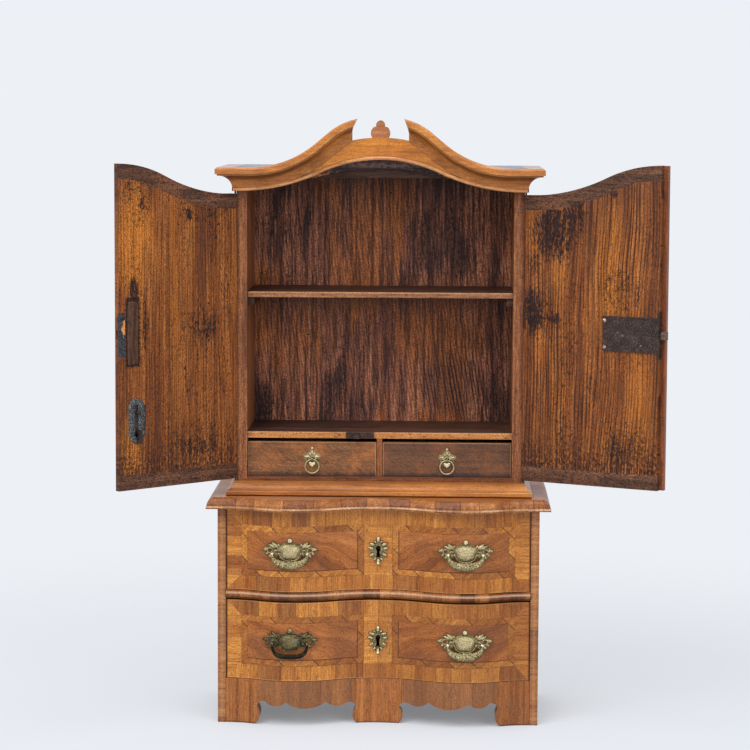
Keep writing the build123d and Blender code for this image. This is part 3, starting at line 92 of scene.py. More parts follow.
class Wire:
    """A value in a node tree, which takes part in arithmetic."""

    def __init__(self, net, socket):
        self.net, self.socket = net, socket

    def __abs__(self):
        return self.net.math("ABSOLUTE", self)

    def smooth(self, start, end):
        """Zero at start, one at end, eased between them."""
        low, high, first, last = (start, end, 0.0, 1.0) if start < end else (end, start, 1.0, 0.0)
        values = {"Value": self, "From Min": low, "From Max": high, "To Min": first, "To Max": last}
        return self.net.node("MapRange", values, "Result", interpolation_type="SMOOTHSTEP")


def operator(operation, swapped=False):
    """A method for Wire that adds a math node."""
    return lambda wire, other: wire.net.math(operation, *((other, wire) if swapped else (wire, other)))


for short, long in (("add", "ADD"), ("sub", "SUBTRACT"), ("mul", "MULTIPLY")):
    setattr(Wire, f"__{short}__", operator(long))
    setattr(Wire, f"__r{short}__", operator(long, True))
Wire.__truediv__ = operator("DIVIDE")
Wire.__lt__ = operator("LESS_THAN")
Wire.__gt__ = operator("GREATER_THAN")


class Net:
    """A node tree, with short calls for the nodes that the finishes are made of."""

    def __init__(self, tree):
        self.tree = tree
        tree.nodes.clear()

    def set(self, target, value):
        """Link a wire into a socket, or write a plain value there."""
        if isinstance(value, Wire):
            self.tree.links.new(value.socket, target)
        else:
            target.default_value = opaque(value) if isinstance(value, tuple) else value

    def add(self, kind, inputs=None, **settings):
        """A new node with its settings, and values for some of its inputs."""
        node = self.tree.nodes.new(f"ShaderNode{kind}")
        for name, value in settings.items():
            setattr(node, name, value)
        for key, value in (inputs or {}).items():
            self.set(node.inputs[key], value)
        return node

    def node(self, kind, inputs=None, out=0, **settings):
        """The wire out of a new node."""
        return Wire(self, self.add(kind, inputs, **settings).outputs[out])

    def math(self, operation, *values):
        return self.node("Math", dict(enumerate(values)), operation=operation)

    def low(self, a, b):
        return self.math("MINIMUM", a, b)

    def high(self, a, b):
        return self.math("MAXIMUM", a, b)

    def noise(self, vector, scale=1.0, detail=3.0, rough=0.5, twist=0.0):
        settings = {"Scale": scale, "Detail": detail, "Roughness": rough, "Distortion": twist}
        return self.node("TexNoise", {"Vector": vector, **settings}, "Fac")

    def stretched(self, x, y, z, detail=3.0, rough=0.5, twist=0.0):
        """Noise that is scaled differently along each axis."""
        return self.noise(self.node("CombineXYZ", {0: x, 1: y, 2: z}), 1.0, detail, rough, twist)

    def pieces(self, number, length, joint=(0.6 * MM, 0.2 * MM)):
        """Pieces of uneven length in a row: a random value for each, and one on the joints between them."""
        row = {"W": number, "Scale": 1.0 / length}
        colour = self.node("TexVoronoi", row, "Color", voronoi_dimensions="1D")
        gap = self.node("TexVoronoi", row, "Distance", voronoi_dimensions="1D", feature="DISTANCE_TO_EDGE")
        return self.node("SeparateColor", {0: colour}), (gap * length).smooth(*joint)

    def ramp(self, value, stops):
        node = self.add("ValToRGB", {"Fac": value})
        points = node.color_ramp.elements
        while len(points) < len(stops):
            points.new(0.5)
        for point, (position, colour) in zip(points, stops):
            point.position = position
            point.color = opaque(colour)
        return Wire(self, node.outputs["Color"])

    def blend(self, share, a, b, how="MIX"):
        return self.node("Mix", {0: share, 6: a, 7: b}, 2, data_type="RGBA", blend_type=how)

    def seen(self):
        """One for the camera and in reflections, zero for light that falls on things."""
        path = self.add("LightPath")
        camera, glossy, passed = (
            Wire(self, path.outputs[f"Is {ray} Ray"]) for ray in ("Camera", "Glossy", "Transmission")
        )
        return self.high(self.high(camera, glossy), passed)


class Finish(Net):
    """One material, whose colour is built up in layers."""

    def __init__(self, name):
        self.material = bpy.data.materials.new(name)
        self.material.use_nodes = True
        super().__init__(self.material.node_tree)
        self.shader = self.add("BsdfPrincipled")
        self.output = self.add("OutputMaterial", {"Surface": Wire(self, self.shader.outputs[0])})
        self.place = self.node("TexCoord", out="Object")
        split = self.add("SeparateXYZ", {0: self.place})
        self.x, self.y, self.z = (Wire(self, socket) for socket in split.outputs)
        self.colour = None

    def lay(self, share, colour):
        """Lay a share of another colour over what is there."""
        self.colour = self.blend(share, self.colour, colour)

    def cloud(self, scale, detail=3.0, rough=0.5):
        """Noise that is the same in every direction."""
        return self.noise(self.place, scale, detail, rough)

    def dots(self, scale, size):
        """One in small round spots scattered at random, zero between them."""
        distance = self.node("TexVoronoi", {"Vector": self.place, "Scale": scale}, "Distance")
        return distance.smooth(size, 0.6 * size)

    def facing_up(self):
        """How far a surface faces upwards, from -1 to 1."""
        return self.node("SeparateXYZ", {0: self.node("NewGeometry", out="Normal")}, "Z")

    def sheltered(self, distance=0.008, deep=0.25):
        """One in corners and hollows, zero on open faces; deep is the openness that counts as one."""
        return self.node("AmbientOcclusion", {"Distance": distance}, "AO", samples=4).smooth(0.80, deep)

    def edges(self):
        """Above one half on ridges, below it along the foot of steps."""
        return self.node("NewGeometry", out="Pointiness")

    def raised(self):
        """How far a sculpted piece's points stand out of the hollows."""
        return self.node("Attribute", out="Fac", attribute_name="raised")

    def finish(self, rough, height=None, depth=0.0003, metal=0.0, coat=0.0, gloss=0.25, grit=0.0):
        """Wire the colour, roughness and relief into the shader; grit is the strength of fine specks."""
        if grit:
            speck = self.cloud(820.0, 2.0, 0.7)
            self.colour = self.blend(1.0, self.colour, 1.0 + (speck - 0.5) * (3.4 * grit), "MULTIPLY")
        for key, value in {
            "Base Color": self.colour, "Roughness": rough, "Metallic": metal, "Coat Weight": coat,
            "Coat Roughness": 0.22, "Specular IOR Level": gloss,
        }.items():
            self.set(self.shader.inputs[key], value)
        if height is not None:
            bump = self.node("Bump", {"Strength": 1.0, "Distance": depth, "Height": height}, "Normal")
            self.set(self.shader.inputs["Normal"], bump)
        return self.material


# ------------------------------------------------------------------ wood
# Each palette runs from the dark lines of the grain to its light fibres.
GOLD = ((120, 66, 26), (172, 106, 44), (198, 132, 59), (226, 164, 88))
MOULD = ((112, 60, 22), (158, 94, 38), (184, 116, 50), (208, 144, 74))
HONEY = ((126, 68, 20), (176, 104, 32), (202, 127, 42), (222, 152, 62))
ORANGE = ((94, 50, 22), (146, 84, 37), (172, 104, 51), (200, 134, 72))
WALNUT = ((66, 35, 23), (118, 69, 42), (152, 96, 58), (190, 130, 84))
DUSK = ((26, 15, 13), (52, 32, 26), (78, 50, 38), (110, 76, 54))
DOOR = ((64, 31, 17), (122, 67, 31), (160, 95, 45), (204, 136, 74))
BACK = ((48, 27, 25), (120, 73, 58), (174, 111, 82), (230, 164, 128))
PALE = ((96, 62, 34), (140, 98, 56), (172, 126, 78), (196, 152, 102))
BATTEN = ((26, 16, 13), (64, 42, 32), (96, 64, 48), (144, 102, 78))
RED_BROWN = ((70, 34, 20), (118, 66, 36), (150, 92, 52), (184, 124, 80))
TOP = ((86, 44, 22), (136, 80, 42), (164, 102, 56), (196, 136, 84))
TOP_RIM = ((90, 46, 20), (138, 81, 39), (165, 104, 52), (196, 138, 82))
HEADER = ((20, 12, 14), (38, 24, 25), (56, 38, 38), (88, 66, 62))
HEADER_FOOT = ((96, 52, 28), (150, 96, 58), (184, 128, 84), (216, 166, 124))
SMALL_FRONT = ((72, 42, 22), (112, 70, 38), (138, 90, 51), (164, 114, 70))
ASTRAGAL = ((60, 28, 17), (112, 60, 34), (142, 82, 48), (184, 120, 74))
BEAD = ((150, 92, 48), (190, 128, 76), (208, 150, 98), (228, 180, 130))
FINIAL = ((104, 56, 30), (146, 88, 50), (168, 108, 66), (192, 134, 90))
BLACK = (16, 9, 7)

# Shades of pieces of veneer side by side: a place from 0 to 1, and what the colour is multiplied by
WHITE = (1.0, 1.0, 1.0)
BAND_TINTS = [(0.15, WHITE), (0.42, (0.86, 0.8, 0.76)), (0.66, (0.76, 0.66, 0.64)), (0.92, (0.56, 0.5, 0.62))]
FEATHER_TINTS = [(0.25, WHITE), (0.50, (0.76, 0.68, 0.66)), (0.75, (0.58, 0.50, 0.54))]
STACK_TINTS = [(0.15, WHITE), (0.42, (0.84, 0.8, 0.8)), (0.66, (0.64, 0.57, 0.57)), (0.88, (0.44, 0.37, 0.4))]
RIM_TINTS = [(0.2, WHITE), (0.50, (0.82, 0.77, 0.76)), (0.8, (0.66, 0.59, 0.62))]


def streaks(net, along, across, depth, coarse=34.0, seed=0.0, twist=0.0):
    """Grain from 0 to 1: wide bands, narrow lines and fibres, long along the wood."""
    wide = net.stretched(along * 2.2 + seed, across * coarse, depth * coarse, rough=0.55, twist=twist)
    lines = net.stretched(along * 5.0, across * 230.0 + seed, depth * 230.0, rough=0.6)
    fibre = net.stretched(along * 40.0, across * 520.0, depth * 520.0 + seed, rough=0.7)
    return wide * 0.56 + lines * 0.46 + fibre * 0.50 - 0.26


def pores(net, along, across, depth, amount=0.56):
    """Short dark dashes along the grain."""
    dash = net.stretched(along * 110.0, across * 760.0, depth * 760.0, 2.0, 0.6)
    return dash.smooth(amount, amount + 0.10)


def rings(net, along, across, spacing, seed=0.0):
    """Dark lines of late wood a few millimetres apart, uneven in spacing and strength, from 0 to 1."""
    shift = net.stretched(along * 2.5 + seed, across * 38.0, seed, rough=0.6)
    wave = net.math("SINE", across * (2 * math.pi / spacing) + shift * 26.0)
    strength = net.stretched(along * 7.0, across * 70.0 + seed, 5.0, rough=0.65)
    return (wave + (strength - 0.5) * 3.2).smooth(0.15, 0.95)


def tone(net, value, palette):
    return net.ramp(
        value, [(0.22, palette[0]), (0.42, palette[1]), (0.58, palette[2]), (0.80, palette[3])]
    )


def tinted(net, wood, tint, shades):
    """Wood in pieces, each darkened by the shade that its random value picks."""
    return net.blend(1.0, wood, net.ramp(tint, shades), "MULTIPLY")


def wormholes(net, scale=90.0, size=0.055, amount=0.56):
    """Sparse round worm holes, in patches."""
    patch = net.cloud(14.0, 2.0).smooth(amount, amount + 0.08)
    return net.dots(scale, size) * patch


def plain_wood(name, along, palette, coarse=34.0, seed=0.0, rough=0.55, darkening=0.35, gloss=0.25, dust_and_sheen=0.0):
    """Straight-grained wood whose grain runs along X, Y or Z."""
    net = Finish(name)
    x, y, z = net.x, net.y, net.z
    order = {"x": (x, z, y), "y": (y, z, x), "z": (z, x, y)}
    run, across, depth = order[along]
    grain = streaks(net, run, across, depth, coarse, seed)
    dark = pores(net, run, across, depth)
    net.colour = tone(net, grain, palette)
    net.lay(dark * 0.6, palette[0])
    stain = net.cloud(9.0, 4.0, 0.6).smooth(0.5, 0.72)
    net.lay(stain * darkening, palette[0])
    # Painted shade: darker in corners and hollows.
    net.lay(net.sheltered() * 0.6, palette[0])
    net.lay(wormholes(net) * 0.9, BLACK)
    # Grey dust with a painted sheen on what faces up.
    if dust_and_sheen:
        dust_and_sheen_mask = net.facing_up().smooth(0.80, 0.98) * (grain * 0.3 + 0.7)
        net.lay(dust_and_sheen_mask * dust_and_sheen, (150, 157, 168))
    return net.finish(
        rough + (grain - 0.5) * 0.25 + stain * 0.15, grain - dark * 0.5, 0.0004, gloss=gloss, grit=0.8
    )


def back_wood(name):
    """Boards behind the shelves: fine dark lines, soft dark patches, warmer streaks and ribs, and painted
    shadow under the middle shelf and towards the top.
    """
    net = Finish(name)
    x, y, z = net.x, net.y, net.z
    grain = streaks(net, z, x, y, 60.0, 7.0)
    net.colour = tone(net, grain, BACK)
    region = net.stretched(z * 6.0, x * 15.0, 4.4, rough=0.6)
    lane = net.stretched(z * 3.0, x * 60.0, 8.0, rough=0.6)
    warm = (region * 0.6 + lane * 0.4).smooth(0.50, 0.40)
    net.lay(warm * 0.65, (176, 102, 46))
    fine = net.stretched(z * 16.0, x * 300.0, 1.7, rough=0.7)
    net.lay(fine.smooth(0.46, 0.58) * 0.7, (52, 28, 27))
    du, dv = (x - 0.088) / 0.046, (z - 0.392) / 0.044
    ribbed = (du * du + dv * dv).smooth(1.1, 0.2)
    line = rings(net, z, x + z * 0.18, 0.0042, 2.0)
    net.lay(ribbed * 0.35, (50, 32, 34))
    net.lay(line * (ribbed * 0.55 + 0.35), (30, 17, 19))
    cloud = region + (fine - 0.5) * 0.35
    net.lay(cloud.smooth(0.52, 0.62) * 0.58, (38, 24, 30))
    # Painted shadow: darker under the middle shelf and towards the top, under the header.
    low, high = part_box("middle_shelf")
    under = (low.z - z + (fine - 0.5) * 0.06).smooth(0.030, 0.0) * (z < high.z)
    over = (z + (fine - 0.5) * 0.06).smooth(0.605, 0.650)
    net.lay(net.high(under, over) * 0.65, (34, 20, 20))
    broken = net.stretched(z * 170.0, x * 420.0, 2.0, rough=0.65)
    soot = (broken * 0.7 + lane * 0.3 + (region - 0.5) * 0.5).smooth(0.56, 0.64)
    net.lay(soot * 0.8, (24, 14, 17))
    net.lay(wormholes(net, 70.0, 0.10, 0.47), BLACK)
    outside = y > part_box("case_back")[0].y + 2 * MM
    net.lay(outside, tone(net, grain, DUSK))
    return net.finish(0.62, grain - line * 0.5 - soot * 0.5, 0.0005, grit=1.1)


def shelf_wood(name, node, dark, edge):
    """A shelf with a dusky top and a lighter front edge, with a painted highlight along its upper corner."""
    net = Finish(name)
    x, y, z = net.x, net.y, net.z
    low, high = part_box(node)
    grain = streaks(net, x, z, y, 36.0, 3.0)
    flat = tone(net, streaks(net, x, y, z, 30.0, 6.0), dark)
    worn = net.stretched(x * 30.0, y * 60.0, 2.0).smooth(0.52, 0.7)
    flat = net.blend(worn * 0.35, flat, (116, 82, 66))
    net.colour = net.blend(y < low.y + 0.6 * MM, flat, tone(net, grain, edge))
    chip = net.stretched(x * 90.0, z * 300.0, 1.0).smooth(0.60, 0.68)
    net.lay(chip * 0.7, (70, 36, 22))
    # Painted highlight along the upper front corner.
    corner = (abs(high.z - z) + abs(y - low.y)).smooth(0.0022, 0.0008)
    net.lay(corner * 0.3, (226, 180, 136))
    return net.finish(0.55, grain, 0.0003, grit=0.9)


def header_wood(name):
    """The dusky board behind the arch: a soft shine above, pale worn wood along its ragged foot."""
    net = Finish(name)
    x, y, z = net.x, net.y, net.z
    foot_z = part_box("header_rail")[0].z
    grain = streaks(net, x, z, y, 50.0, 6.0)
    net.colour = tone(net, grain, HEADER)
    ragged = (net.stretched(x * 70.0, z * 160.0, 3.0, 4.0, 0.7) - 0.5) * 0.034
    rise = z - foot_z
    foot = (rise + ragged).smooth(5 * MM, 3 * MM)
    net.lay(foot * 0.85, tone(net, grain, HEADER_FOOT))
    shine = abs(rise - 15.5 * MM + ragged * 0.15).smooth(4.5 * MM, 1 * MM)
    net.lay(shine * abs(x - 5 * MM).smooth(60 * MM, 30 * MM) * 0.45, (140, 108, 106))
    pit = net.stretched(x * 160.0, z * 300.0, 9.0, rough=0.7).smooth(0.52, 0.60)
    net.lay(pit * 0.7, (20, 12, 12))
    return net.finish(0.45, grain - pit * 0.5, 0.0005, gloss=0.25, grit=0.8)


def polished_moulding(name, along, seed=0.0, palette=MOULD, coat=0.12, dust_and_sheen=1.0, stepped=False):
    """Golden waxed moulding wood with painted shade in its hollows, and a grey dusting with a painted sheen
    on what faces up.

    Where it is stepped, painted shade darkens the foot of each step and what faces down too.
    """
    net = Finish(name)
    x, y, z = net.x, net.y, net.z
    run, across = (x, y) if along == "x" else (y, x)
    wide = net.stretched(run * 9.0 + seed, across * 30.0, z * 26.0)
    fibre = net.stretched(run * 22.0, across * 420.0, z * 300.0 + seed, rough=0.65)
    grain = wide * 0.75 + fibre * 0.65 - 0.2
    net.colour = tone(net, grain, palette)
    cloud = net.cloud(24.0, 4.0, 0.65).smooth(0.46, 0.70)
    net.lay(cloud * 0.35, (126, 72, 32))
    net.lay(pores(net, run, across, z) * 0.35, palette[0])
    # Painted shade in the hollows, with a sharper dark line of it in tight corners.
    net.lay(net.sheltered(0.006) * 0.8, (84, 42, 16))
    net.lay(net.sheltered(0.0025, 0.48) * 0.85, (44, 20, 8))
    if stepped:
        # Painted shade along the foot of each step and on what faces down.
        net.lay(net.edges().smooth(0.47, 0.40) * 0.75, (58, 28, 12))
        net.lay(net.facing_up().smooth(-0.55, -0.85) * 0.6, (72, 36, 14))
    # Grey dust with a painted sheen on what faces up.
    dust_and_sheen_mask = net.facing_up().smooth(0.80, 0.98) * dust_and_sheen
    patchy = net.cloud(60.0, 4.0, 0.7).smooth(0.30, 0.62)
    net.lay(dust_and_sheen_mask * (patchy * 0.4 + 0.45), (160, 161, 165))
    return net.finish(0.36 + cloud * 0.2 + dust_and_sheen_mask * 0.3, grain, 0.0001, coat=coat, gloss=0.3, grit=0.45)


def veneered_front(name, node):
    """Drawer front: mitred cross-banding, a feather band round each figured panel, a middle strip."""
    net = Finish(name)
    x, y, z = net.x, net.y, net.z
    low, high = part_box(node)
    banding, feather, middle = 16 * MM, 7.5 * MM, 17 * MM
    upper = "upper" in node
    seed = 2.0 if upper else 9.0
    side = abs(x)
    end_gap = high.x - side
    foot_gap, head_gap = z - low.z, high.z - z
    rim_gap = net.low(foot_gap, head_gap)
    at_end = end_gap < rim_gap
    upright = streaks(net, z, x, y, 60.0, 3.0)
    level = streaks(net, x, z, y, 60.0, 8.0)

    # Cross-banding in pieces of uneven length, whose grain runs away from the edge
    row = x + (foot_gap > head_gap) * 0.937 + seed
    row = row + at_end * (z + net.math("SIGN", x) * 0.613 - row)
    tint, joint = net.pieces(row, 24 * MM)
    cross = upright + at_end * (level - upright)
    band = tinted(net, tone(net, cross, GOLD), tint, BAND_TINTS)
    band = net.blend(joint * 0.45, band, (84, 42, 20))

    # Feather band and panel, measured from the panel's edge
    half_wide = (high.x - 2 * MM - banding - middle) / 2
    panel_x = abs(side - (half_wide + middle)) - half_wide
    panel_z = banding + 1.5 * MM - rim_gap
    inside = net.high(panel_x, panel_z)
    lean = x + z
    feather_tint, tick = net.pieces(lean + seed, 40 * MM, (1.0 * MM, 0.4 * MM))
    feather_grain = streaks(net, lean, x - z, y, 70.0, 5.0)
    feather_wood = tinted(net, tone(net, feather_grain, GOLD), feather_tint, FEATHER_TINTS)
    feather_wood = net.blend(tick * 0.85, feather_wood, (54, 27, 16))

    # Panel figure: soft diagonal bands that fan out of the lower corners, over fine fibres
    bend = net.stretched(side * 20.0 + seed, z * 26.0, 0.0, 2.0)
    flow = z - side * 0.45 + bend * 0.030
    bands = net.stretched(flow * 75.0 + seed, side * 9.0, seed, 2.0)
    fine = net.stretched(flow * 480.0, side * 40.0, seed, 2.0, 0.6)
    burr = tone(net, bands * 0.75 + fine * 0.52 - 0.14, ORANGE)
    shade = net.stretched(x * 17.0 + seed, z * 22.0, 5.0, 2.0).smooth(0.44, 0.60)
    burr = net.blend(shade * (0.3 if upper else 0.5), burr, (112, 68, 44))
    line_one = abs(inside).smooth(0.0007, 0.0003)
    line_two = abs(inside + feather).smooth(0.0008, 0.0003)
    near_middle = (panel_z < panel_x) * (side < half_wide + middle)
    at_foot = (foot_gap < head_gap) * (panel_z > panel_x)
    marked = net.high(net.high(near_middle, at_foot), 0.35)

    in_panel = inside < 0.0
    net.colour = net.blend(inside < -feather, feather_wood, burr)
    net.colour = net.blend(in_panel, band, net.colour)
    in_middle = (side < middle) * (rim_gap > banding + 1.5 * MM)
    net.lay(in_middle, tone(net, level, GOLD))
    lines = net.high(line_one * 0.5, line_two) * marked * (rim_gap > banding)
    net.lay(lines * 0.8, (60, 30, 18))

    dash_up = pores(net, z, x, y)
    dash_level = pores(net, x, z, y)
    lying = net.high(at_end, in_panel)
    dash = dash_up + lying * (dash_level - dash_up)
    net.lay(dash * 0.5, (88, 48, 25))
    worn = net.cloud(26.0, 4.0, 0.65).smooth(0.56, 0.76)
    net.lay(worn * 0.3, (112, 70, 50))
    # Painted shadow of the handles, with some grime, in an oval round each.
    dx, dz = (side - HANDLE_X) / 0.040, (z - (low.z + high.z) / 2) / 0.020
    handle_shade_and_grime = (dx * dx + dz * dz).smooth(1.0, 0.35)
    net.lay(handle_shade_and_grime * 0.28, (66, 36, 22))
    # Painted highlight along the top and foot edges.
    net.lay(rim_gap.smooth(0.0014, 0.0004) * 0.25, (226, 172, 116))
    # Painted shade of the gaps at both ends.
    net.lay(end_gap.smooth(0.0020, 0.0006) * 0.75, (60, 30, 18))
    net.lay(wormholes(net, 70.0, 0.06), BLACK)
    # Painted shade: the right half darker, the lower drawer's more so.
    net.lay((x > 0.0) * (0.06 if upper else 0.26), (96, 50, 26))
    behind = y > low.y + 26 * MM
    net.lay(behind, tone(net, level, PALE))
    return net.finish(0.42 + worn * 0.2, cross * 0.5 - joint - lines, 0.00015, coat=0.08, grit=0.6)


POST_SHINE_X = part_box("corner_posts")[1].x - 5 * MM


def stacked_wood(
    name, along, length, palette, seed=0.0, rough=0.45, grey=0.3, round_over=None, contrast=1.0, bays=0.0
):
    """Cross-grained pieces laid in a row along X or Z, the grain at right angles to the row.

    A rail is rounded over between two heights; bays are duller places on both sides of the middle.
    """
    net = Finish(name)
    x, y, z = net.x, net.y, net.z
    run = x if along == "x" else z
    across = z if along == "x" else x
    tint, joint = net.pieces(run + net.math("SIGN", x) * 0.37 * (along == "z") + seed, length)
    grain = streaks(net, across, run, y, 70.0, seed)
    shades = [(stop, tuple(c ** contrast for c in shade)) for stop, shade in STACK_TINTS]
    net.colour = tinted(net, tone(net, grain, palette), tint, shades)
    dull = net.cloud(20.0, 4.0, 0.6).smooth(0.48, 0.70)
    net.lay(dull * grey, (112, 88, 76))
    net.lay(pores(net, across, run, y) * 0.5, (74, 42, 25))
    # Painted shade in corners and hollows.
    net.lay(net.sheltered() * 0.6, (50, 26, 16))
    net.lay(joint * 0.6, (56, 30, 20))
    net.lay(wormholes(net, 80.0, 0.06), BLACK)
    # Painted shade along the foot, where the wood meets the floor.
    net.lay(z.smooth(2.2 * MM, 0.4 * MM) * 0.6, (58, 34, 24))
    height = grain * 0.15 - joint * 0.4
    if bays:
        bay = abs(abs(x) - bays).smooth(0.062, 0.050)
        net.lay(bay * 0.4, (122, 88, 64))
    # Posts get a painted highlight in a stripe down each front.
    if along == "z":
        bright = abs(abs(x) - POST_SHINE_X).smooth(0.0026, 0.0008)
        net.lay(bright * 0.14, (216, 168, 124))
    if round_over is not None:
        low, high = round_over
        rise = (z - (low + high) / 2) / ((high - low) / 2)
        height = height - rise * rise * 6.0
        # Painted highlight along the rail's rounded front.
        net.lay(abs(rise - 0.36).smooth(0.40, 0.05) * 0.38, (236, 206, 172))
    return net.finish(rough + dull * 0.2, height, 0.0003, coat=0.06, grit=0.6)


def chest_top_wood(name):
    """Top of the chest: long grain above, cross-grained moulded edge."""
    net = Finish(name)
    x, y, z = net.x, net.y, net.z
    low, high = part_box("chest_top")
    top = tone(net, streaks(net, x, y, z, 26.0, 4.0), TOP)
    on_side = abs(x) > high.x - 9 * MM
    run = x + on_side * (y - x)
    tint, joint = net.pieces(run + 0.5, 30 * MM)
    grain = streaks(net, z, x, y, 60.0, 6.0)
    rim = tinted(net, tone(net, grain, TOP_RIM), tint, RIM_TINTS)
    rim = net.blend(joint * 0.7, rim, (60, 32, 20))
    # Painted highlight along the lower bead, broken up along its length.
    bead = abs(z - low.z - 2.4 * MM).smooth(0.0014, 0.0005)
    rim = net.blend(pores(net, z, x, y) * 0.4, rim, (78, 42, 24))
    shine = net.stretched(x * 16.0, 0.0, 2.0, 2.0).smooth(0.36, 0.62) * 0.62 + 0.14
    rim = net.blend(bead * shine, rim, (238, 202, 164))
    level = net.facing_up().smooth(0.90, 0.985)
    net.colour = net.blend(level, rim, top)
    # Grey dust with a painted sheen on the top, in patches.
    dust_and_sheen_mask = net.cloud(12.0, 4.0, 0.6).smooth(0.42, 0.70)
    net.lay(level * dust_and_sheen_mask * 0.2, (142, 130, 128))
    return net.finish(0.38 + dust_and_sheen_mask * 0.2, grain * 0.3 - joint, 0.0002, coat=0.08, grit=0.9)


def small_front_wood(name, node, shade):
    """A small drawer's front: brown walnut with slanting marks, a pale worn edge, darker towards its foot."""
    net = Finish(name)
    x, y, z = net.x, net.y, net.z
    low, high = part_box(node)
    grain = streaks(net, x, z, y, 34.0, 11.0)
    net.colour = tone(net, grain, SMALL_FRONT)
    slant = net.stretched((x + z * 1.6) * 520.0, (x - z) * 60.0, 2.0, rough=0.65)
    net.lay(slant.smooth(0.48, 0.58) * 0.62, (66, 40, 27))
    glow = net.stretched(x * 26.0, z * 26.0, 6.0, rough=0.6).smooth(0.46, 0.74)
    net.lay(glow * 0.75, (184, 110, 52))
    net.lay(shade, (66, 42, 34))
    # Darker towards the foot.
    darkening = (z + net.cloud(120.0, 4.0) * 0.010).smooth(low.z + 12 * MM, low.z + 5 * MM)
    net.lay(darkening * 0.8, (38, 29, 32))
    rim = net.low(high.z - z, net.low(x - low.x, high.x - x))
    net.lay(rim.smooth(0.0016, 0.0005) * 0.45, (180, 140, 98))
    return net.finish(0.42, grain, 0.0003, coat=0.05, grit=0.7)


# Measures of a door leaf: out from its pin, back from its inner face, and up
OUTER_SKIN = -6 * MM
LEAF_WIDTH, FRAME_BAND = 171 * MM, 20 * MM
POCKET_MIDDLE, POCKET_HALF = 144.8 * MM, 11.5 * MM
POCKET_FOOT, POCKET_HEAD = 342 * MM, 402 * MM


def leaf_frame(joint):
    """A leaf's hinge pin, the direction out along the leaf, and the one back from its inner face."""
    pin = Vector(JOINTS[joint]["pos_m"])
    side = 1.0 if pin.x > 0 else -1.0
    turn = -math.radians(JOINTS[joint]["range_deg"][0]) * side
    along = Vector((-side * math.cos(turn), -side * math.sin(turn), 0))
    out = Vector((-math.sin(turn), math.cos(turn), 0))
    return pin, along, out


def leaf_axes(net, joint):
    """Distances on a door leaf: out from its hinge pin, and back from its inner face."""
    pin, along, out = leaf_frame(joint)
    x, y = net.x - pin.x, net.y - pin.y
    return x * along.x + y * along.y, x * out.x + y * out.y


def zone(s, z, at, size):
    """One in the middle of an oval on a leaf, zero at its edge; the oval is given in millimetres."""
    du, dv = (s - at[0] * MM) / (size[0] * MM), (z - at[1] * MM) / (size[1] * MM)
    return (du * du + dv * dv).smooth(1.0, 0.0)


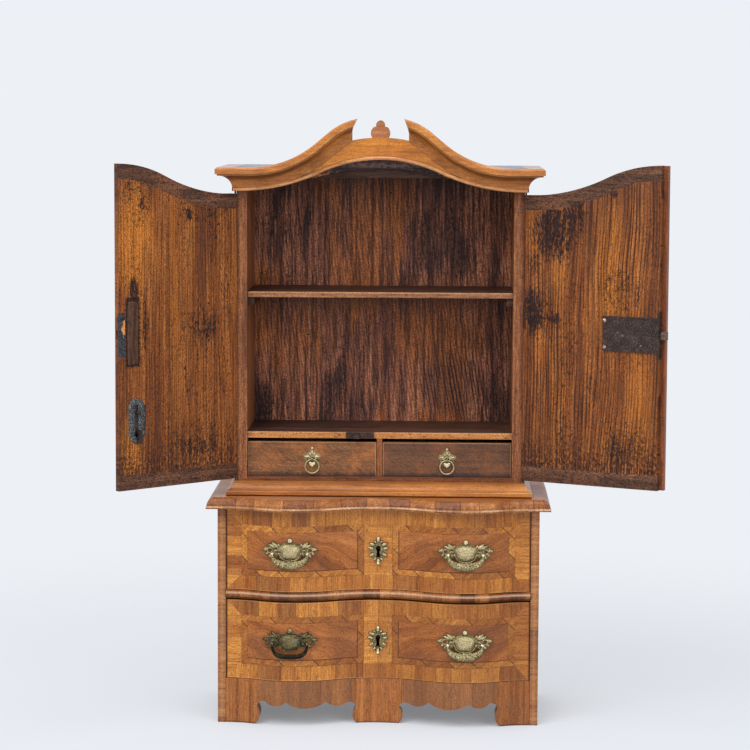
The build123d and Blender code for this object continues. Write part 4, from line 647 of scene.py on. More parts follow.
def door_wood(name, joint, stains, glows, specks, fan, ribs, seed, gap=None):
    """Inner face: ringed pine with stains. Outer face: figured veneer in a cross-banded frame.

    Stains, glows and specks are ovals on the leaf; gap is the middle and half size of a sunk block.
    """
    net = Finish(name)
    z = net.z
    s, back = leaf_axes(net, joint)
    bow = net.stretched(s * 7.0 + seed, z * 2.6, 0.0, 2.0) * fan
    ring = s + bow
    grain = streaks(net, z, ring, back, 60.0, seed)
    net.colour = tone(net, grain, DOOR)
    broad = net.stretched(ring * 24.0 + seed, z * 2.4, 0.0, rough=0.6)
    net.lay(broad.smooth(0.50, 0.66) * 0.55, (82, 46, 32))
    net.lay(broad.smooth(0.46, 0.32) * 0.4, (196, 124, 54))
    for at, size, strength in glows:
        net.lay(zone(s, z, at, size) * strength, (198, 120, 44))
    fine = net.stretched(ring * 380.0, z * 13.0, seed, rough=0.7)
    net.lay(fine.smooth(0.48, 0.61) * 0.5, (66, 34, 22))
    dark_line = rings(net, z, ring, 0.0042, seed)
    region = net.stretched(s * 12.0, z * 7.0, seed + 1.0, 2.0).smooth(0.36, 0.62)
    net.lay(dark_line * (region * 0.6 + 0.5) * ribs, (52, 26, 18))
    streak = net.stretched(ring * 150.0 + seed, z * 16.0, 3.0, 4.0, 0.7)
    broken = net.stretched(s * 420.0, z * 190.0, seed, rough=0.65)
    stained = 0.0
    for at, size, strength in stains:
        stained = net.high(stained, zone(s, z, at, size) * strength)
    soft = (stained + (streak - 0.5) * 2.4 + (broken - 0.5) * 1.6).smooth(0.25, 1.0)
    net.lay(soft * 0.72, (50, 28, 25))
    soak = (streak * 0.5 + broken * 0.5 + stained * 0.17).smooth(0.60, 0.68)
    net.lay(soak * 0.85, (30, 17, 18))
    worn = net.stretched(s * 26.0, z * 9.0, seed + 4.0).smooth(0.46, 0.64)
    fleck = broken.smooth(0.56, 0.63) * (worn * 0.7 + 0.3)
    net.lay(fleck * 0.6, (44, 24, 17))
    eaten = 0.0
    for at, size in specks:
        eaten = net.high(eaten, zone(s, z, at, size))
    track = net.stretched(s * 210.0, z * 170.0, seed + 2.0, 2.0, 0.5, 1.2)
    hole = abs(track - 0.42).smooth(0.030, 0.012) * (eaten + broken > 0.98)
    net.lay(hole * 0.85, (26, 13, 11))
    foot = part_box("left_door_battens")[0].z
    end_grime = z.smooth(foot + 0.075, foot + 0.020) * (broken + streak * 0.4).smooth(0.64, 0.74)
    net.lay(end_grime * 0.8, (42, 25, 22))
    if gap:
        at, half = gap
        # Painted shade in the gap round the sunk block.
        rim = net.high(abs(s - at[0]) - half[0], abs(z - at[1]) - half[1]) + (broken - 0.5) * 0.010
        net.lay(rim.smooth(0.0030, 0.0016) * 0.9, (22, 13, 12))
    pocket = (back > -2 * MM) * (back < 1.7 * MM) * (abs(s - POCKET_MIDDLE) < POCKET_HALF)
    pocket = pocket * (z > POCKET_FOOT) * (z < POCKET_HEAD)
    metal = net.ramp(broken, [(0.36, (20, 19, 20)), (0.52, (44, 42, 42)), (0.68, (84, 82, 80))])
    net.lay(pocket, metal)

    outer_face = back < OUTER_SKIN
    swirl_bend = net.stretched(s * 9.0 + seed, z * 7.0, 0.0, rough=0.6)
    flow = s + z * 0.35 + swirl_bend * 0.10
    figure = net.stretched(flow * 60.0, (s - z) * 7.0, seed, rough=0.6)
    hair = net.stretched(flow * 420.0, z * 22.0, seed, 2.0, 0.6)
    swirl = tone(net, figure * 0.75 + hair * 0.35 - 0.06, WALNUT)
    edge_gap = net.low(net.low(s, LEAF_WIDTH - s), z - foot)
    frame_band = tone(net, streaks(net, s, z, back, 60.0, seed), ORANGE)
    veneer = net.blend(edge_gap < FRAME_BAND, swirl, frame_band)
    veneer = net.blend(abs(edge_gap - FRAME_BAND).smooth(0.001, 0.0004), veneer, (40, 20, 12))
    net.lay(outer_face, veneer)
    roughness = 0.52 + (grain - 0.5) * 0.2 - outer_face * 0.12
    height = grain - dark_line * 0.6 - (hole + fleck) * (1.0 - outer_face)
    return net.finish(roughness, height, 0.0005, gloss=0.2, grit=1.1)


def batten_wood(name, joint, seed):
    """Dark, weathered end battens of the leaves."""
    net = Finish(name)
    s, back = leaf_axes(net, joint)
    grain = streaks(net, s, net.z, back, 60.0, seed, 0.6)
    net.colour = tone(net, grain, BATTEN)
    fleck = net.stretched(s * 240.0, net.z * 420.0, seed, rough=0.7).smooth(0.55, 0.66)
    patch = net.cloud(30.0, 3.0, 0.6).smooth(0.48, 0.66)
    net.lay(patch * 0.5, (128, 80, 56))
    net.lay(fleck * 0.85, (22, 13, 12))
    outer_face = back < OUTER_SKIN
    net.lay(outer_face, tone(net, streaks(net, net.z, s, back, 60.0, seed), ORANGE))
    return net.finish(0.62, grain - fleck, 0.0006, gloss=0.2, grit=1.3)


def astragal_wood(name):
    """Red-brown polished strip on the edge of the right leaf."""
    net = Finish(name)
    x, y, z = net.x, net.y, net.z
    grain = streaks(net, z, x, y, 60.0, 4.0)
    net.colour = tone(net, grain, ASTRAGAL)
    worn = net.stretched(x * 60.0, z * 18.0, 1.0).smooth(0.54, 0.66)
    net.lay(worn * 0.6, (58, 28, 22))
    return net.finish(0.4, grain, 0.0003, coat=0.08, grit=0.8)


# ------------------------------------------------------------------ metal
def brass(name, green=0.15, level=0.0, keyholes=(), lace=0.0):
    """Old brass: near black in the hollows, olive on the slopes, pale where hands rub it."""
    net = Finish(name)
    x, z = net.x, net.z
    fine = net.cloud(760.0, 4.0, 0.75)
    broad = net.cloud(150.0, 3.0, 0.6)
    raised = net.raised()
    hollow = net.sheltered(0.003)
    net.colour = net.ramp(
        fine * 0.86 + broad * 0.20 + raised * 0.32 + level - hollow * 0.34,
        [
            (0.34, (30, 26, 17)), (0.52, (92, 80, 52)),
            (0.70, (166, 150, 106)), (0.92, (246, 236, 200)),
        ],
    )
    bloom = net.cloud(190.0, 4.0, 0.7).smooth(0.54, 0.68)
    net.lay(bloom * green, (112, 140, 118))
    if lace:
        net.lay(net.dots(430.0, 0.42) * lace, (28, 24, 16))
    # Painted shade: a black keyhole laid on the plate round each hole.
    for hole_z in keyholes:
        rise = z - hole_z
        bow = x * x + (rise - 2.8 * MM) * (rise - 2.8 * MM) < (3.1 * MM) ** 2
        slot = (abs(x) + rise * 0.18 < 1.2 * MM) * (abs(rise + 3.2 * MM) < 5.0 * MM)
        net.lay(net.high(bow, slot), BLACK)
    return net.finish(0.50 - raised * 0.2, fine * 0.8 + broad, 0.0005, metal=0.7)


def iron(name, light=1.0, cold=0.0):
    """Dark forged iron with rust and rubbed spots; cold takes the brown out of it."""
    net = Finish(name)
    fine = net.cloud(620.0, 5.0, 0.75)
    broad = net.cloud(90.0, 3.0, 0.6)
    shades = [(0.34, (18, 13, 12)), (0.46, (40, 29, 26)), (0.56, (66, 50, 44)), (0.68, (122, 104, 94))]
    net.colour = net.ramp(
        fine * 0.7 + broad * 0.3,
        [(stop, tuple(min(1.0, c * light) for c in srgb(shade))) for stop, shade in shades],
    )
    rust = net.cloud(130.0, 4.0, 0.7).smooth(0.54, 0.66)
    net.lay(rust * 0.35, (70, 42, 30))
    net.lay(cold, net.ramp(fine, [(0.38, (26, 28, 30)), (0.50, (66, 70, 73)), (0.64, (142, 148, 152))]))
    # Painted shade in corners and hollows.
    net.lay(net.sheltered(0.004) * 0.7, (18, 14, 13))
    return net.finish(0.62 - fine * 0.2, fine, 0.0006, metal=0.4, gloss=0.4, grit=1.4)


def left_iron(name):
    """The left leaf's irons: blue-black, with bare wood in a chipped part of the strike."""
    net = Finish(name)
    s, _ = leaf_axes(net, "left_door_hinge")
    fine = net.cloud(560.0, 5.0, 0.7)
    net.colour = net.ramp(fine, [(0.34, (18, 20, 24)), (0.50, (40, 43, 50)), (0.68, (98, 102, 110))])
    chip = zone(s, net.z, (164, 480), (6, 14)) + net.cloud(420.0) * 2.2
    net.lay(chip > 1.75, net.ramp(fine, [(0.4, (196, 116, 50)), (0.6, (236, 170, 104))]))
    return net.finish(0.55, fine, 0.0005, metal=0.3, gloss=0.4)


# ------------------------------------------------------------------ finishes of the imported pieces
def give(material, *names):
    """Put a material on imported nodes."""
    for name in names:
        mesh = NODES[name].data
        mesh.materials.clear()
        mesh.materials.append(material)


GREY_BROWN = ((98, 55, 27), (147, 92, 50), (174, 118, 71), (202, 150, 100))
APRON = ((92, 51, 25), (143, 85, 40), (170, 105, 53), (200, 135, 76))
WORN_BLOCK = ((26, 16, 12), (58, 36, 27), (92, 62, 45), (150, 108, 80))
WORN_TAN = ((74, 38, 24), (126, 78, 50), (154, 106, 72), (196, 148, 110))
LOW_EDGE = ((108, 60, 30), (160, 100, 50), (186, 124, 68), (212, 156, 98))
PINK_TAN = ((88, 47, 23), (138, 83, 43), (170, 108, 60), (210, 152, 100))

TIERS = ("upper", "lower")
HANDS = (("left", -1), ("right", 1))
for tier in TIERS:
    give(veneered_front(f"{tier}_front_veneer", f"{tier}_drawer_front"), f"{tier}_drawer_front")
give(stacked_wood("post_veneer", "z", 0.047, GREY_BROWN, 1.3, contrast=0.6), "corner_posts")
rail_heights = [corner.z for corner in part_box("drawer_rail")]
give(stacked_wood("rail_veneer", "x", 0.019, PINK_TAN, 5.3, 0.30, 0.1, rail_heights, 1.2), "drawer_rail")
give(stacked_wood("apron_veneer", "x", 0.045, APRON, 4.7, 0.5, 0.15, contrast=0.38, bays=0.086), "apron")
give(chest_top_wood("chest_top_wood"), "chest_top")
give(plain_wood("side_wood", "z", WALNUT, 30.0, 2.0, 0.5), "chest_sides", "case_sides")
give(plain_wood("old_pine", "x", PALE, 28.0, 5.0, 0.75), "drawer_runners", "chest_bottom")
give(plain_wood("back_boards", "z", DUSK, 40.0, 7.0, 0.7), "chest_back")
give(back_wood("case_back_wood"), "case_back")
give(shelf_wood("lower_shelf_wood", "lower_shelf", DUSK, LOW_EDGE), "lower_shelf")
give(shelf_wood("middle_shelf_wood", "middle_shelf", DUSK, WORN_TAN), "middle_shelf")
give(plain_wood("case_base_wood", "x", WALNUT, 36.0, 3.0, 0.6), "case_base")
give(plain_wood("divider_wood", "z", RED_BROWN, 36.0, 4.0, 0.6), "drawer_divider")
give(plain_wood("roof_wood", "x", DUSK, 36.0, 6.0, 0.6, dust_and_sheen=0.85), "case_roof")
give(header_wood("header_wood"), "header_rail")
give(plain_wood("cleat_wood", "x", DUSK, 36.0, 8.0, 0.6), "shelf_cleats")
give(
    plain_wood("drawer_box_wood", "y", PALE, 30.0, 9.0, 0.75),
    "upper_drawer_box", "lower_drawer_box", "small_drawer_left_box", "small_drawer_right_box",
)
for hand, shade in (("left", 0.10), ("right", 0.56)):
    node = f"small_drawer_{hand}_front"
    give(small_front_wood(f"{node}_wood", node, shade), node)
give(polished_moulding("moulding_front_wood", "x", 1.0, stepped=True), "swan_neck_left", "swan_neck_right")
give(polished_moulding("tympanum_wood", "x", 4.0, HONEY), "tympanum")
give(polished_moulding("plinth_wood", "x", 2.0, dust_and_sheen=0.0, stepped=True), "plinth_moulding")
give(polished_moulding("bead_wood", "x", 3.0, BEAD), "arch_bead")
give(polished_moulding("finial_wood", "x", 7.0, FINIAL, dust_and_sheen=0.4), "finial")
cornice_wood = polished_moulding("moulding_side_wood", "y", 5.0, stepped=True)
give(cornice_wood, "cornice_return_left", "cornice_return_right")

# Ovals on the leaves' inner faces in millimetres: middle out from the pin and up, half size, strength
LEFT_STAINS = [
    ((82, 560), (14, 45), 0.35), ((70, 610), (7, 12), 1.0), ((150, 525), (9, 22), 1.15),
    ((133, 478), (6, 40), 0.8), ((48, 482), (34, 40), 0.6), ((60, 420), (34, 130), 0.35),
    ((30, 600), (30, 50), 0.25), ((60, 336), (40, 16), 0.7), ((20, 480), (16, 150), 0.35),
    ((156, 645), (14, 12), 0.6), ((137, 622), (8, 12), 0.8),
]
LEFT_GLOWS = [
    ((150, 580), (34, 75), 0.8), ((155, 340), (20, 50), 0.7), ((92, 500), (10, 200), 0.35),
]
LEFT_SPECKS = [
    ((145, 625), (30, 40)), ((50, 615), (50, 22)), ((140, 480), (14, 60)), ((60, 345), (50, 30)),
    ((148, 540), (12, 30)),
]
RIGHT_STAINS = [
    ((36, 590), (42, 52), 0.95), ((62, 608), (22, 40), 0.85), ((10, 495), (20, 40), 1.0),
    ((14, 555), (12, 30), 0.7), ((40, 487), (12, 9), 0.8), ((112, 636), (8, 8), 0.8),
    ((90, 400), (16, 120), 0.35), ((50, 420), (20, 160), 0.3), ((130, 520), (24, 30), 0.4),
    ((110, 340), (60, 24), 0.4),
]
RIGHT_GLOWS = [
    ((110, 540), (30, 100), 0.45), ((150, 400), (20, 110), 0.4), ((12, 590), (12, 50), 0.4),
]
RIGHT_SPECKS = [
    ((122, 525), (30, 34)), ((50, 600), (40, 40)), ((20, 490), (26, 40)), ((130, 345), (40, 36)),
    ((75, 640), (50, 16)),
]
BLOCK_GAP = ((0.1522, 0.4755), (0.0077, 0.0378))  # metres
for hand, *marks in (
    ("left", LEFT_STAINS, LEFT_GLOWS, LEFT_SPECKS, 0.014, 0.42, 1.0, BLOCK_GAP),
    ("right", RIGHT_STAINS, RIGHT_GLOWS, RIGHT_SPECKS, 0.044, 0.85, 6.0),
):
    give(door_wood(f"{hand}_door_wood", f"{hand}_door_hinge", *marks), f"{hand}_door_panel")
give(astragal_wood("astragal_wood"), "right_door_astragal")
for hand, seed in (("left", 2.0), ("right", 5.0)):
    give(batten_wood(f"{hand}_batten_wood", f"{hand}_door_hinge", seed), f"{hand}_door_battens")

BRASS = brass("aged_brass", 0.15, -0.01)
GREEN_BRASS = brass("green_brass", 0.5, -0.18)
LACY_BRASS = brass("lacy_brass", 0.15, 0.06, lace=0.75)
DARK_BRASS = brass("dark_brass", 0.12, -0.28)
BAIL_PINS = {tier: JOINTS[f"{tier}_bail_left_hinge"]["pos_m"] for tier in TIERS}
flat_brass = brass("flat_brass", 0.2, 0.05, [pin[2] for pin in BAIL_PINS.values()])
for tier in TIERS:
    for part in ("escutcheon", "handle_plates", "bail_left", "bail_right"):
        give(flat_brass, f"{tier}_drawer_{part}")
for hand, _ in HANDS:
    give(flat_brass, f"small_drawer_{hand}_ring", f"small_drawer_{hand}_ring_plate")
IRON = iron("dark_iron")
give(
    IRON,
    "upper_drawer_lock", "lower_drawer_lock", "upper_drawer_lock_bolt", "lower_drawer_lock_bolt",
    "bolt_keeper", "left_door_bolt", "right_door_lock", "right_door_pivots",
)
# Lightened threefold: the lock bolt's rubbed metal, and painted highlights on the rivets that share it.
BRIGHT_IRON = iron("bright_iron", 3.2)
give(BRIGHT_IRON, "right_door_lock_bolt")
give(left_iron("left_leaf_iron"), "left_door_irons")


# ------------------------------------------------------------------ sculpted pieces
# Profiles, outlines, rises and widths are in millimetres; places are in metres.
def begin():
    """A new shape, with a value for how far each point stands out of the hollows."""
    shape = bmesh.new()
    shape.verts.layers.float.new("raised")
    return shape


def point(shape, place, raised):
    vertex = shape.verts.new(place)
    vertex[shape.verts.layers.float["raised"]] = raised
    return vertex


def skin(shape, rows):
    """Faces between rows of points, each row a ring."""
    count = len(rows[0])
    for first, second in zip(rows, rows[1:]):
        for i in range(count):
            j = (i + 1) % count
            shape.faces.new((first[i], first[j], second[j], second[i]))


def cap(shape, ring, place, raised):
    middle = point(shape, place, raised)
    for i, vertex in enumerate(ring):
        shape.faces.new((vertex, ring[(i + 1) % len(ring)], middle))


def linked(name, data):
    """A new object in the scene."""
    piece = bpy.data.objects.new(name, data)
    bpy.context.scene.collection.objects.link(piece)
    return piece


def finish_piece(shape, name, material, body, sharp=50.0):
    """The shape as an object that rides on a body."""
    bmesh.ops.recalc_face_normals(shape, faces=shape.faces)
    mesh = bpy.data.meshes.new(name)
    shape.to_mesh(mesh)
    shape.free()
    mesh.shade_smooth()
    mesh.set_sharp_from_angle(angle=math.radians(sharp))
    mesh.materials.append(material)
    piece = linked(name, mesh)
    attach(piece, body)
    return piece


def rounded(points, steps=5):
    """A smooth closed line through points."""
    line = []
    for i in range(len(points)):
        a, b, c, d = (points[(i + k) % len(points)] for k in (-1, 0, 1, 2))
        for k in range(steps):
            t = k / steps
            line.append(0.5 * (
                2 * b + (c - a) * t + (2 * a - 5 * b + 4 * c - d) * t**2 + (3 * b - a - 3 * c + d) * t**3
            ))
    return line


def circle(count):
    """Cosine and sine of even steps round a circle."""
    return [(math.cos(2 * math.pi * k / count), math.sin(2 * math.pi * k / count)) for k in range(count)]


def sides_of(axis):
    """An axis and two directions across it."""
    axis = Vector(axis).normalized()
    across = axis.orthogonal().normalized()
    return axis, across, axis.cross(across)


# Sections of a raised form: share of the outline's size, share of the rise
CUSHION = [(1.0, 0.35), (0.95, 0.62), (0.84, 0.82), (0.66, 0.94), (0.40, 1.0)]
SHIELD = [
    (1.0, 0.25), (0.985, 0.48), (0.95, 0.56), (0.91, 0.48), (0.885, 0.34), (0.85, 0.40),
    (0.76, 0.62), (0.62, 0.82), (0.44, 0.94), (0.22, 1.0),
]
LEAF = [(1.0, 0.3), (0.9, 0.55), (0.72, 0.80), (0.5, 0.95), (0.25, 1.0)]


def raise_form(shape, outline, rise, ground, profile=CUSHION, raised=(0.0, 1.0), sink=0.4):
    """A form over an outline of (x, z) points that stands rise ahead of the ground behind it."""
    rise, sink = rise * MM, sink * MM
    middle = sum(outline, Vector((0, 0))) / len(outline)
    rows = []
    for scale, height in [(1.0, -sink / rise), *profile]:
        value = raised[0] + (raised[1] - raised[0]) * max(height, 0.0)
        corners = [middle + (corner - middle) * scale for corner in outline]
        rows.append([point(shape, (x, ground(x, z) - rise * height, z), value) for x, z in corners])
    skin(shape, rows)
    x, z = middle
    cap(shape, rows[-1], (x, ground(x, z) - rise, z), raised[1])
    cap(shape, rows[0], (x, ground(x, z) + sink, z), raised[0])


def leaf_outline(root, tip, width, curl=0.0):
    """Outline of a leaf from its root to its pointed tip, bent sideways by curl."""
    root, tip = Vector(root), Vector(tip)
    run = tip - root
    side = Vector((-run.y, run.x)).normalized()
    outline = []
    for part, direction in ((range(0, 9), 1), (range(8, 0, -1), -1)):
        for t in (k / 8 for k in part):
            half = width / 2 * math.sin(math.pi * min(1.0, 0.12 + t * 0.88)) ** 0.8 * (1.0 - 0.35 * t)
            bend = curl * math.sin(math.pi * t / 2) ** 2
            outline.append(root + run * t + side * (direction * half + bend))
    return outline


def turned(shape, place, axis, profile, count=24, raised=0.7):
    """A turned form: (radius, height along the axis) from its foot to its tip."""
    place = Vector(place)
    axis, across, other = sides_of(axis)
    rows = [
        [point(shape, place + axis * (height * MM) + (across * c + other * s) * (radius * MM), raised)
         for c, s in circle(count)]
        for radius, height in profile
    ]
    skin(shape, rows)
    for row, (_, height) in ((rows[0], profile[0]), (rows[-1], profile[-1])):
        cap(shape, row, place + axis * (height * MM), raised)


def swept(shape, path, across, sizes, count, raised):
    """A bar along a path of points: half its height in the path's plane and half its depth along across."""
    across = Vector(across)
    rows = []
    for i, place in enumerate(path):
        ahead = (path[min(i + 1, len(path) - 1)] - path[max(i - 1, 0)]).normalized()
        side = ahead.cross(across).normalized()
        height, depth = sizes[i]
        rows.append([
            point(
                shape, place + (side * (c * height) + across * (s * depth)) * MM,
                raised[0] + (raised[1] - raised[0]) * max(0.0, -s),
            )
            for c, s in circle(count)
        ])
    skin(shape, rows)
    for end in (0, -1):
        cap(shape, rows[end], path[end], raised[0])


def hoop(shape, place, axis, radius, wire, count=48, sides=12, raised=0.8):
    """A smooth ring of round wire."""
    axis, across, other = sides_of(axis)
    rows = []
    for c, s in circle(count):
        out = across * c + other * s
        rows.append([
            point(shape, Vector(place) + (out * (radius + wire * b) + axis * (wire * h)) * MM, raised)
            for b, h in circle(sides)
        ])
    skin(shape, rows + rows[:1])


class Face:
    """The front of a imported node, found by looking at it along a line."""

    def __init__(self, node):
        mesh = NODES[node].data
        self.tree = BVHTree.FromPolygons([v.co for v in mesh.vertices], [p.vertices for p in mesh.polygons])

    def hit(self, start, direction):
        return self.tree.ray_cast(Vector(start), Vector(direction))[0]


def flat(level):
    """Ground at one depth."""
    return lambda x, z: level


def mirrored(points):
    """A closed outline from its right half, top to foot."""
    return [Vector(p) for p in points + [(-x, z) for x, z in reversed(points[1:-1])]]


def placed(outline, x, z, flip=1.0):
    """An outline in millimetres, put at a place in metres."""
    return [Vector((x + flip * p.x * MM, z + p.y * MM)) for p in outline]


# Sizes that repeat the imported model's, from the middle of a handle or plate
PLATE = 1.2 * MM
POST_X = 16 * MM
BAIL_HALF = 20.6 * MM

SHIELD_OUTLINE = mirrored([
    (0, 11.6), (6.0, 11.2), (11.6, 9.0), (15.0, 5.0), (14.6, 1.4), (13.0, -2.4), (11.2, -6.0), (7.0, -8.8),
    (0, -9.8),
])
KNOB_Z, KNOB_R = 14.6, 2.9
WING_LEAVES = [  # root, tip, width, curl
    ((14.0, 5.0), (21.0, 14.6), 6.4, -1.6), ((17.0, 6.0), (27.0, 9.2), 4.4, 1.2),
    ((25.0, 4.6), (33.6, 2.8), 5.4, 0.6), ((25.0, 1.0), (30.0, -2.0), 4.2, -0.8),
    ((21.0, -0.6), (26.4, -5.4), 4.6, -1.0), ((16.5, -2.0), (19.0, -6.4), 4.4, 0.8),
    ((12.8, 7.4), (13.6, 12.4), 3.8, -0.8),
]
EYE_X, EYE_Z = 23.6 * MM, 2.9 * MM
POST_FOOT = [(4.4, 0), (4.4, 0.9), (3.9, 1.5), (3.0, 1.7), (2.7, 2.2), (2.5, 2.6)]
POST_HEAD = [(2.3, 0), (2.4, 0.4), (2.0, 1.0), (1.2, 1.4), (0.5, 1.5)]


def handle_relief(tier, body, axis_z, axis_y, dull):
    """Shields, knobs, leaves and posts on a drawer's two handle plates."""
    face = Face(f"{tier}_drawer_front")
    sight_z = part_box(f"{tier}_drawer_front")[0].z + 5 * MM
    depths = {}

    def ground(x, z):
        key = round(x, 5)
        if key not in depths:
            depths[key] = face.hit((x, -0.2, sight_z), (0, 1, 0)).y - PLATE
        return depths[key]

    for hand, side in HANDS:
        shape = begin()
        middle = side * HANDLE_X
        shield = placed(rounded(SHIELD_OUTLINE), middle, axis_z)
        raise_form(shape, shield, 2.7, ground, SHIELD, (0.05, 0.62))
        knob = [Vector((KNOB_R * c, KNOB_Z + KNOB_R * s)) for c, s in circle(20)]
        raise_form(shape, placed(knob, middle, axis_z), 1.9, ground, CUSHION, (0.2, 0.8))
        for flip in (-1, 1):
            for leaf in WING_LEAVES:
                outline = placed(leaf_outline(*leaf), middle, axis_z, flip)
                raise_form(shape, outline, 1.3, ground, LEAF, (-0.4, 0.6))
            eye_x = middle + flip * EYE_X
            eye = (eye_x, ground(eye_x, 0) - 0.2 * MM, axis_z + EYE_Z)
            hoop(shape, eye, (0, 1, 0), 2.9, 0.75, 28, 8, 0.5)
            post_x = middle + flip * POST_X
            turned(shape, (post_x, ground(post_x, 0) + 0.4 * MM, axis_z), (0, -1, 0), POST_FOOT, raised=0.3)
            turned(shape, (post_x, axis_y - 1.7 * MM, axis_z), (0, -1, 0), POST_HEAD, raised=0.1)
        metal = GREEN_BRASS if (dull and side < 0) else BRASS
        finish_piece(shape, f"{tier}_handle_{hand}_relief", metal, body)


BAIL_PIN = [(1.2, 0), (1.2, 9.0)]
BAIL_END = [(1.5, 0), (2.0, 0.5), (2.1, 1.6), (1.8, 2.6), (0.8, 3.0)]


def garland(tier, hand, side, axis_y, axis_z, plain):
    """A cast bail: a leafy swag that is deepest in the middle, or a plainer low one."""
    shape = begin()
    middle = side * HANDLE_X
    drop = (15.6 if plain else 14.6) * MM
    width_power, drop_power = (0.62, 0.75) if plain else (0.80, 0.9)

    def swag(turn):
        """Place across and up of the swag at an angle from its middle."""
        x = BAIL_HALF * math.copysign(abs(math.sin(turn)) ** width_power, turn)
        return middle + x, axis_z - drop * max(0.0, math.cos(turn)) ** drop_power

    path, sizes = [], []
    steps = 96
    for t in (-1 + 2 * i / steps for i in range(steps + 1)):
        turn = t * math.pi / 2
        x, z = swag(turn)
        swell = math.cos(turn) ** (1.6 if plain else 1.1)
        lobe = abs(math.cos(t * math.pi * (3.0 if plain else 5.5)))
        if plain:
            path.append(Vector((x, axis_y, z)))
            sizes.append((1.5 + swell * 1.3 + lobe * swell * 0.3, 1.3 + swell * 0.3 + lobe * 0.1))
        else:
            path.append(Vector((x, axis_y, z + 0.6 * swell * MM)))
            sizes.append((1.5 + swell * 3.0 + lobe * swell, 1.3 + swell * 0.3 + lobe * 0.35))
    swept(shape, path, (0, 1, 0), sizes, 16, (-0.45, 0.0) if plain else (-0.3, 0.25))
    for flip in (-1, 1):
        end = middle + flip * BAIL_HALF
        for inset, profile, raised in ((8.2, BAIL_PIN, 0.4), (1.6, BAIL_END, 0.8)):
            turned(shape, (end - flip * inset * MM, axis_y, axis_z), (flip, 0, 0), profile, 16, raised)
    if not plain:
        for k in range(-4, 5):
            turn = k / 5.2 * math.pi / 2
            swell = math.cos(turn)
            lean = (k > 0) - (k < 0)
            leaf = leaf_outline((-lean * 1.2, 2.2 * swell), (lean * 1.6, -3.4 * swell), 3.0, lean * 0.8)
            ground = flat(axis_y - 1.25 * MM)
            raise_form(shape, placed(leaf, *swag(turn)), 0.7 + 0.6 * swell, ground, LEAF, (-0.5, 0.45))
    metal = DARK_BRASS if plain else LACY_BRASS
    piece = finish_piece(shape, f"{tier}_bail_{hand}_cast", metal, f"{tier}_bail_{hand}")
    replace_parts(piece, f"{tier}_drawer_bail_{hand}")


PETALS = [  # root, tip, width, curl, on the right half of a keyhole plate
    ((3.6, 6.0), (10.8, 10.2), 4.6, -1.0), ((5.0, 2.4), (12.8, 2.4), 4.2, 0.8),
    ((4.6, -3.0), (10.2, -7.8), 4.6, 1.0), ((2.4, -8.6), (5.6, -12.2), 3.4, 0.6),
    ((2.2, 9.0), (5.0, 12.8), 3.2, -0.6),
]
SPINDLE_LEAVES = [((0, 9.6), (0, 16.4), 5.0), ((0, -9.6), (0, -16.4), 4.6)]
SPINDLE = [(1.9, 0), (1.9, 1.8), (1.4, 2.6), (0.5, 2.9)]


def keyhole_relief(tier, body, z):
    """Curled petals round a keyhole."""
    ground = min(v.co.y for v in NODES[f"{tier}_drawer_escutcheon"].data.vertices) + 0.1 * MM
    shape = begin()
    for flip in (-1, 1):
        for petal in PETALS:
            outline = placed(leaf_outline(*petal), 0, z, flip)
            raise_form(shape, outline, 1.3, flat(ground), LEAF, (-0.3, 0.65), 1.8)
    for leaf in SPINDLE_LEAVES:
        raise_form(shape, placed(leaf_outline(*leaf), 0, z), 1.5, flat(ground), LEAF, (-0.1, 0.75), 1.8)
    for sign in (-1, 1):
        turned(shape, (0, ground + 0.8 * MM, z + sign * 15.0 * MM), (0, -1, 0), SPINDLE, 16, 1.0)
    finish_piece(shape, f"{tier}_keyhole_relief", BRASS, body)


LOZENGE = mirrored([
    (0, 13.4), (2.2, 11.2), (4.2, 9.4), (5.4, 7.4), (8.2, 6.6), (11.4, 3.4), (8.8, 0.4), (5.6, -0.6),
    (0, -2.4),
])
ENGRAVED = [  # root, tip, width, curl of the leaves on a ring plate
    ((0, 5.0), (0, 12.6), 3.4),
    ((1.2, 4.6), (4.4, 8.6), 2.6, 0.4), ((-1.2, 4.6), (-4.4, 8.6), 2.6, -0.4),
    ((2.0, 3.4), (10.4, 3.6), 3.4, -0.3), ((-2.0, 3.4), (-10.4, 3.6), 3.4, 0.3),
    ((1.6, 2.2), (6.0, 0.4), 2.2, 0.2), ((-1.6, 2.2), (-6.0, 0.4), 2.2, -0.2),
]
HEART = mirrored([(0, -3.4), (1.3, -2.3), (3.0, -2.2), (4.4, -3.8), (3.6, -6.2), (1.6, -8.2), (0, -9.6)])
TIP = [(1.3, 0), (1.3, 0.8), (0.8, 1.3), (0.3, 1.4)]


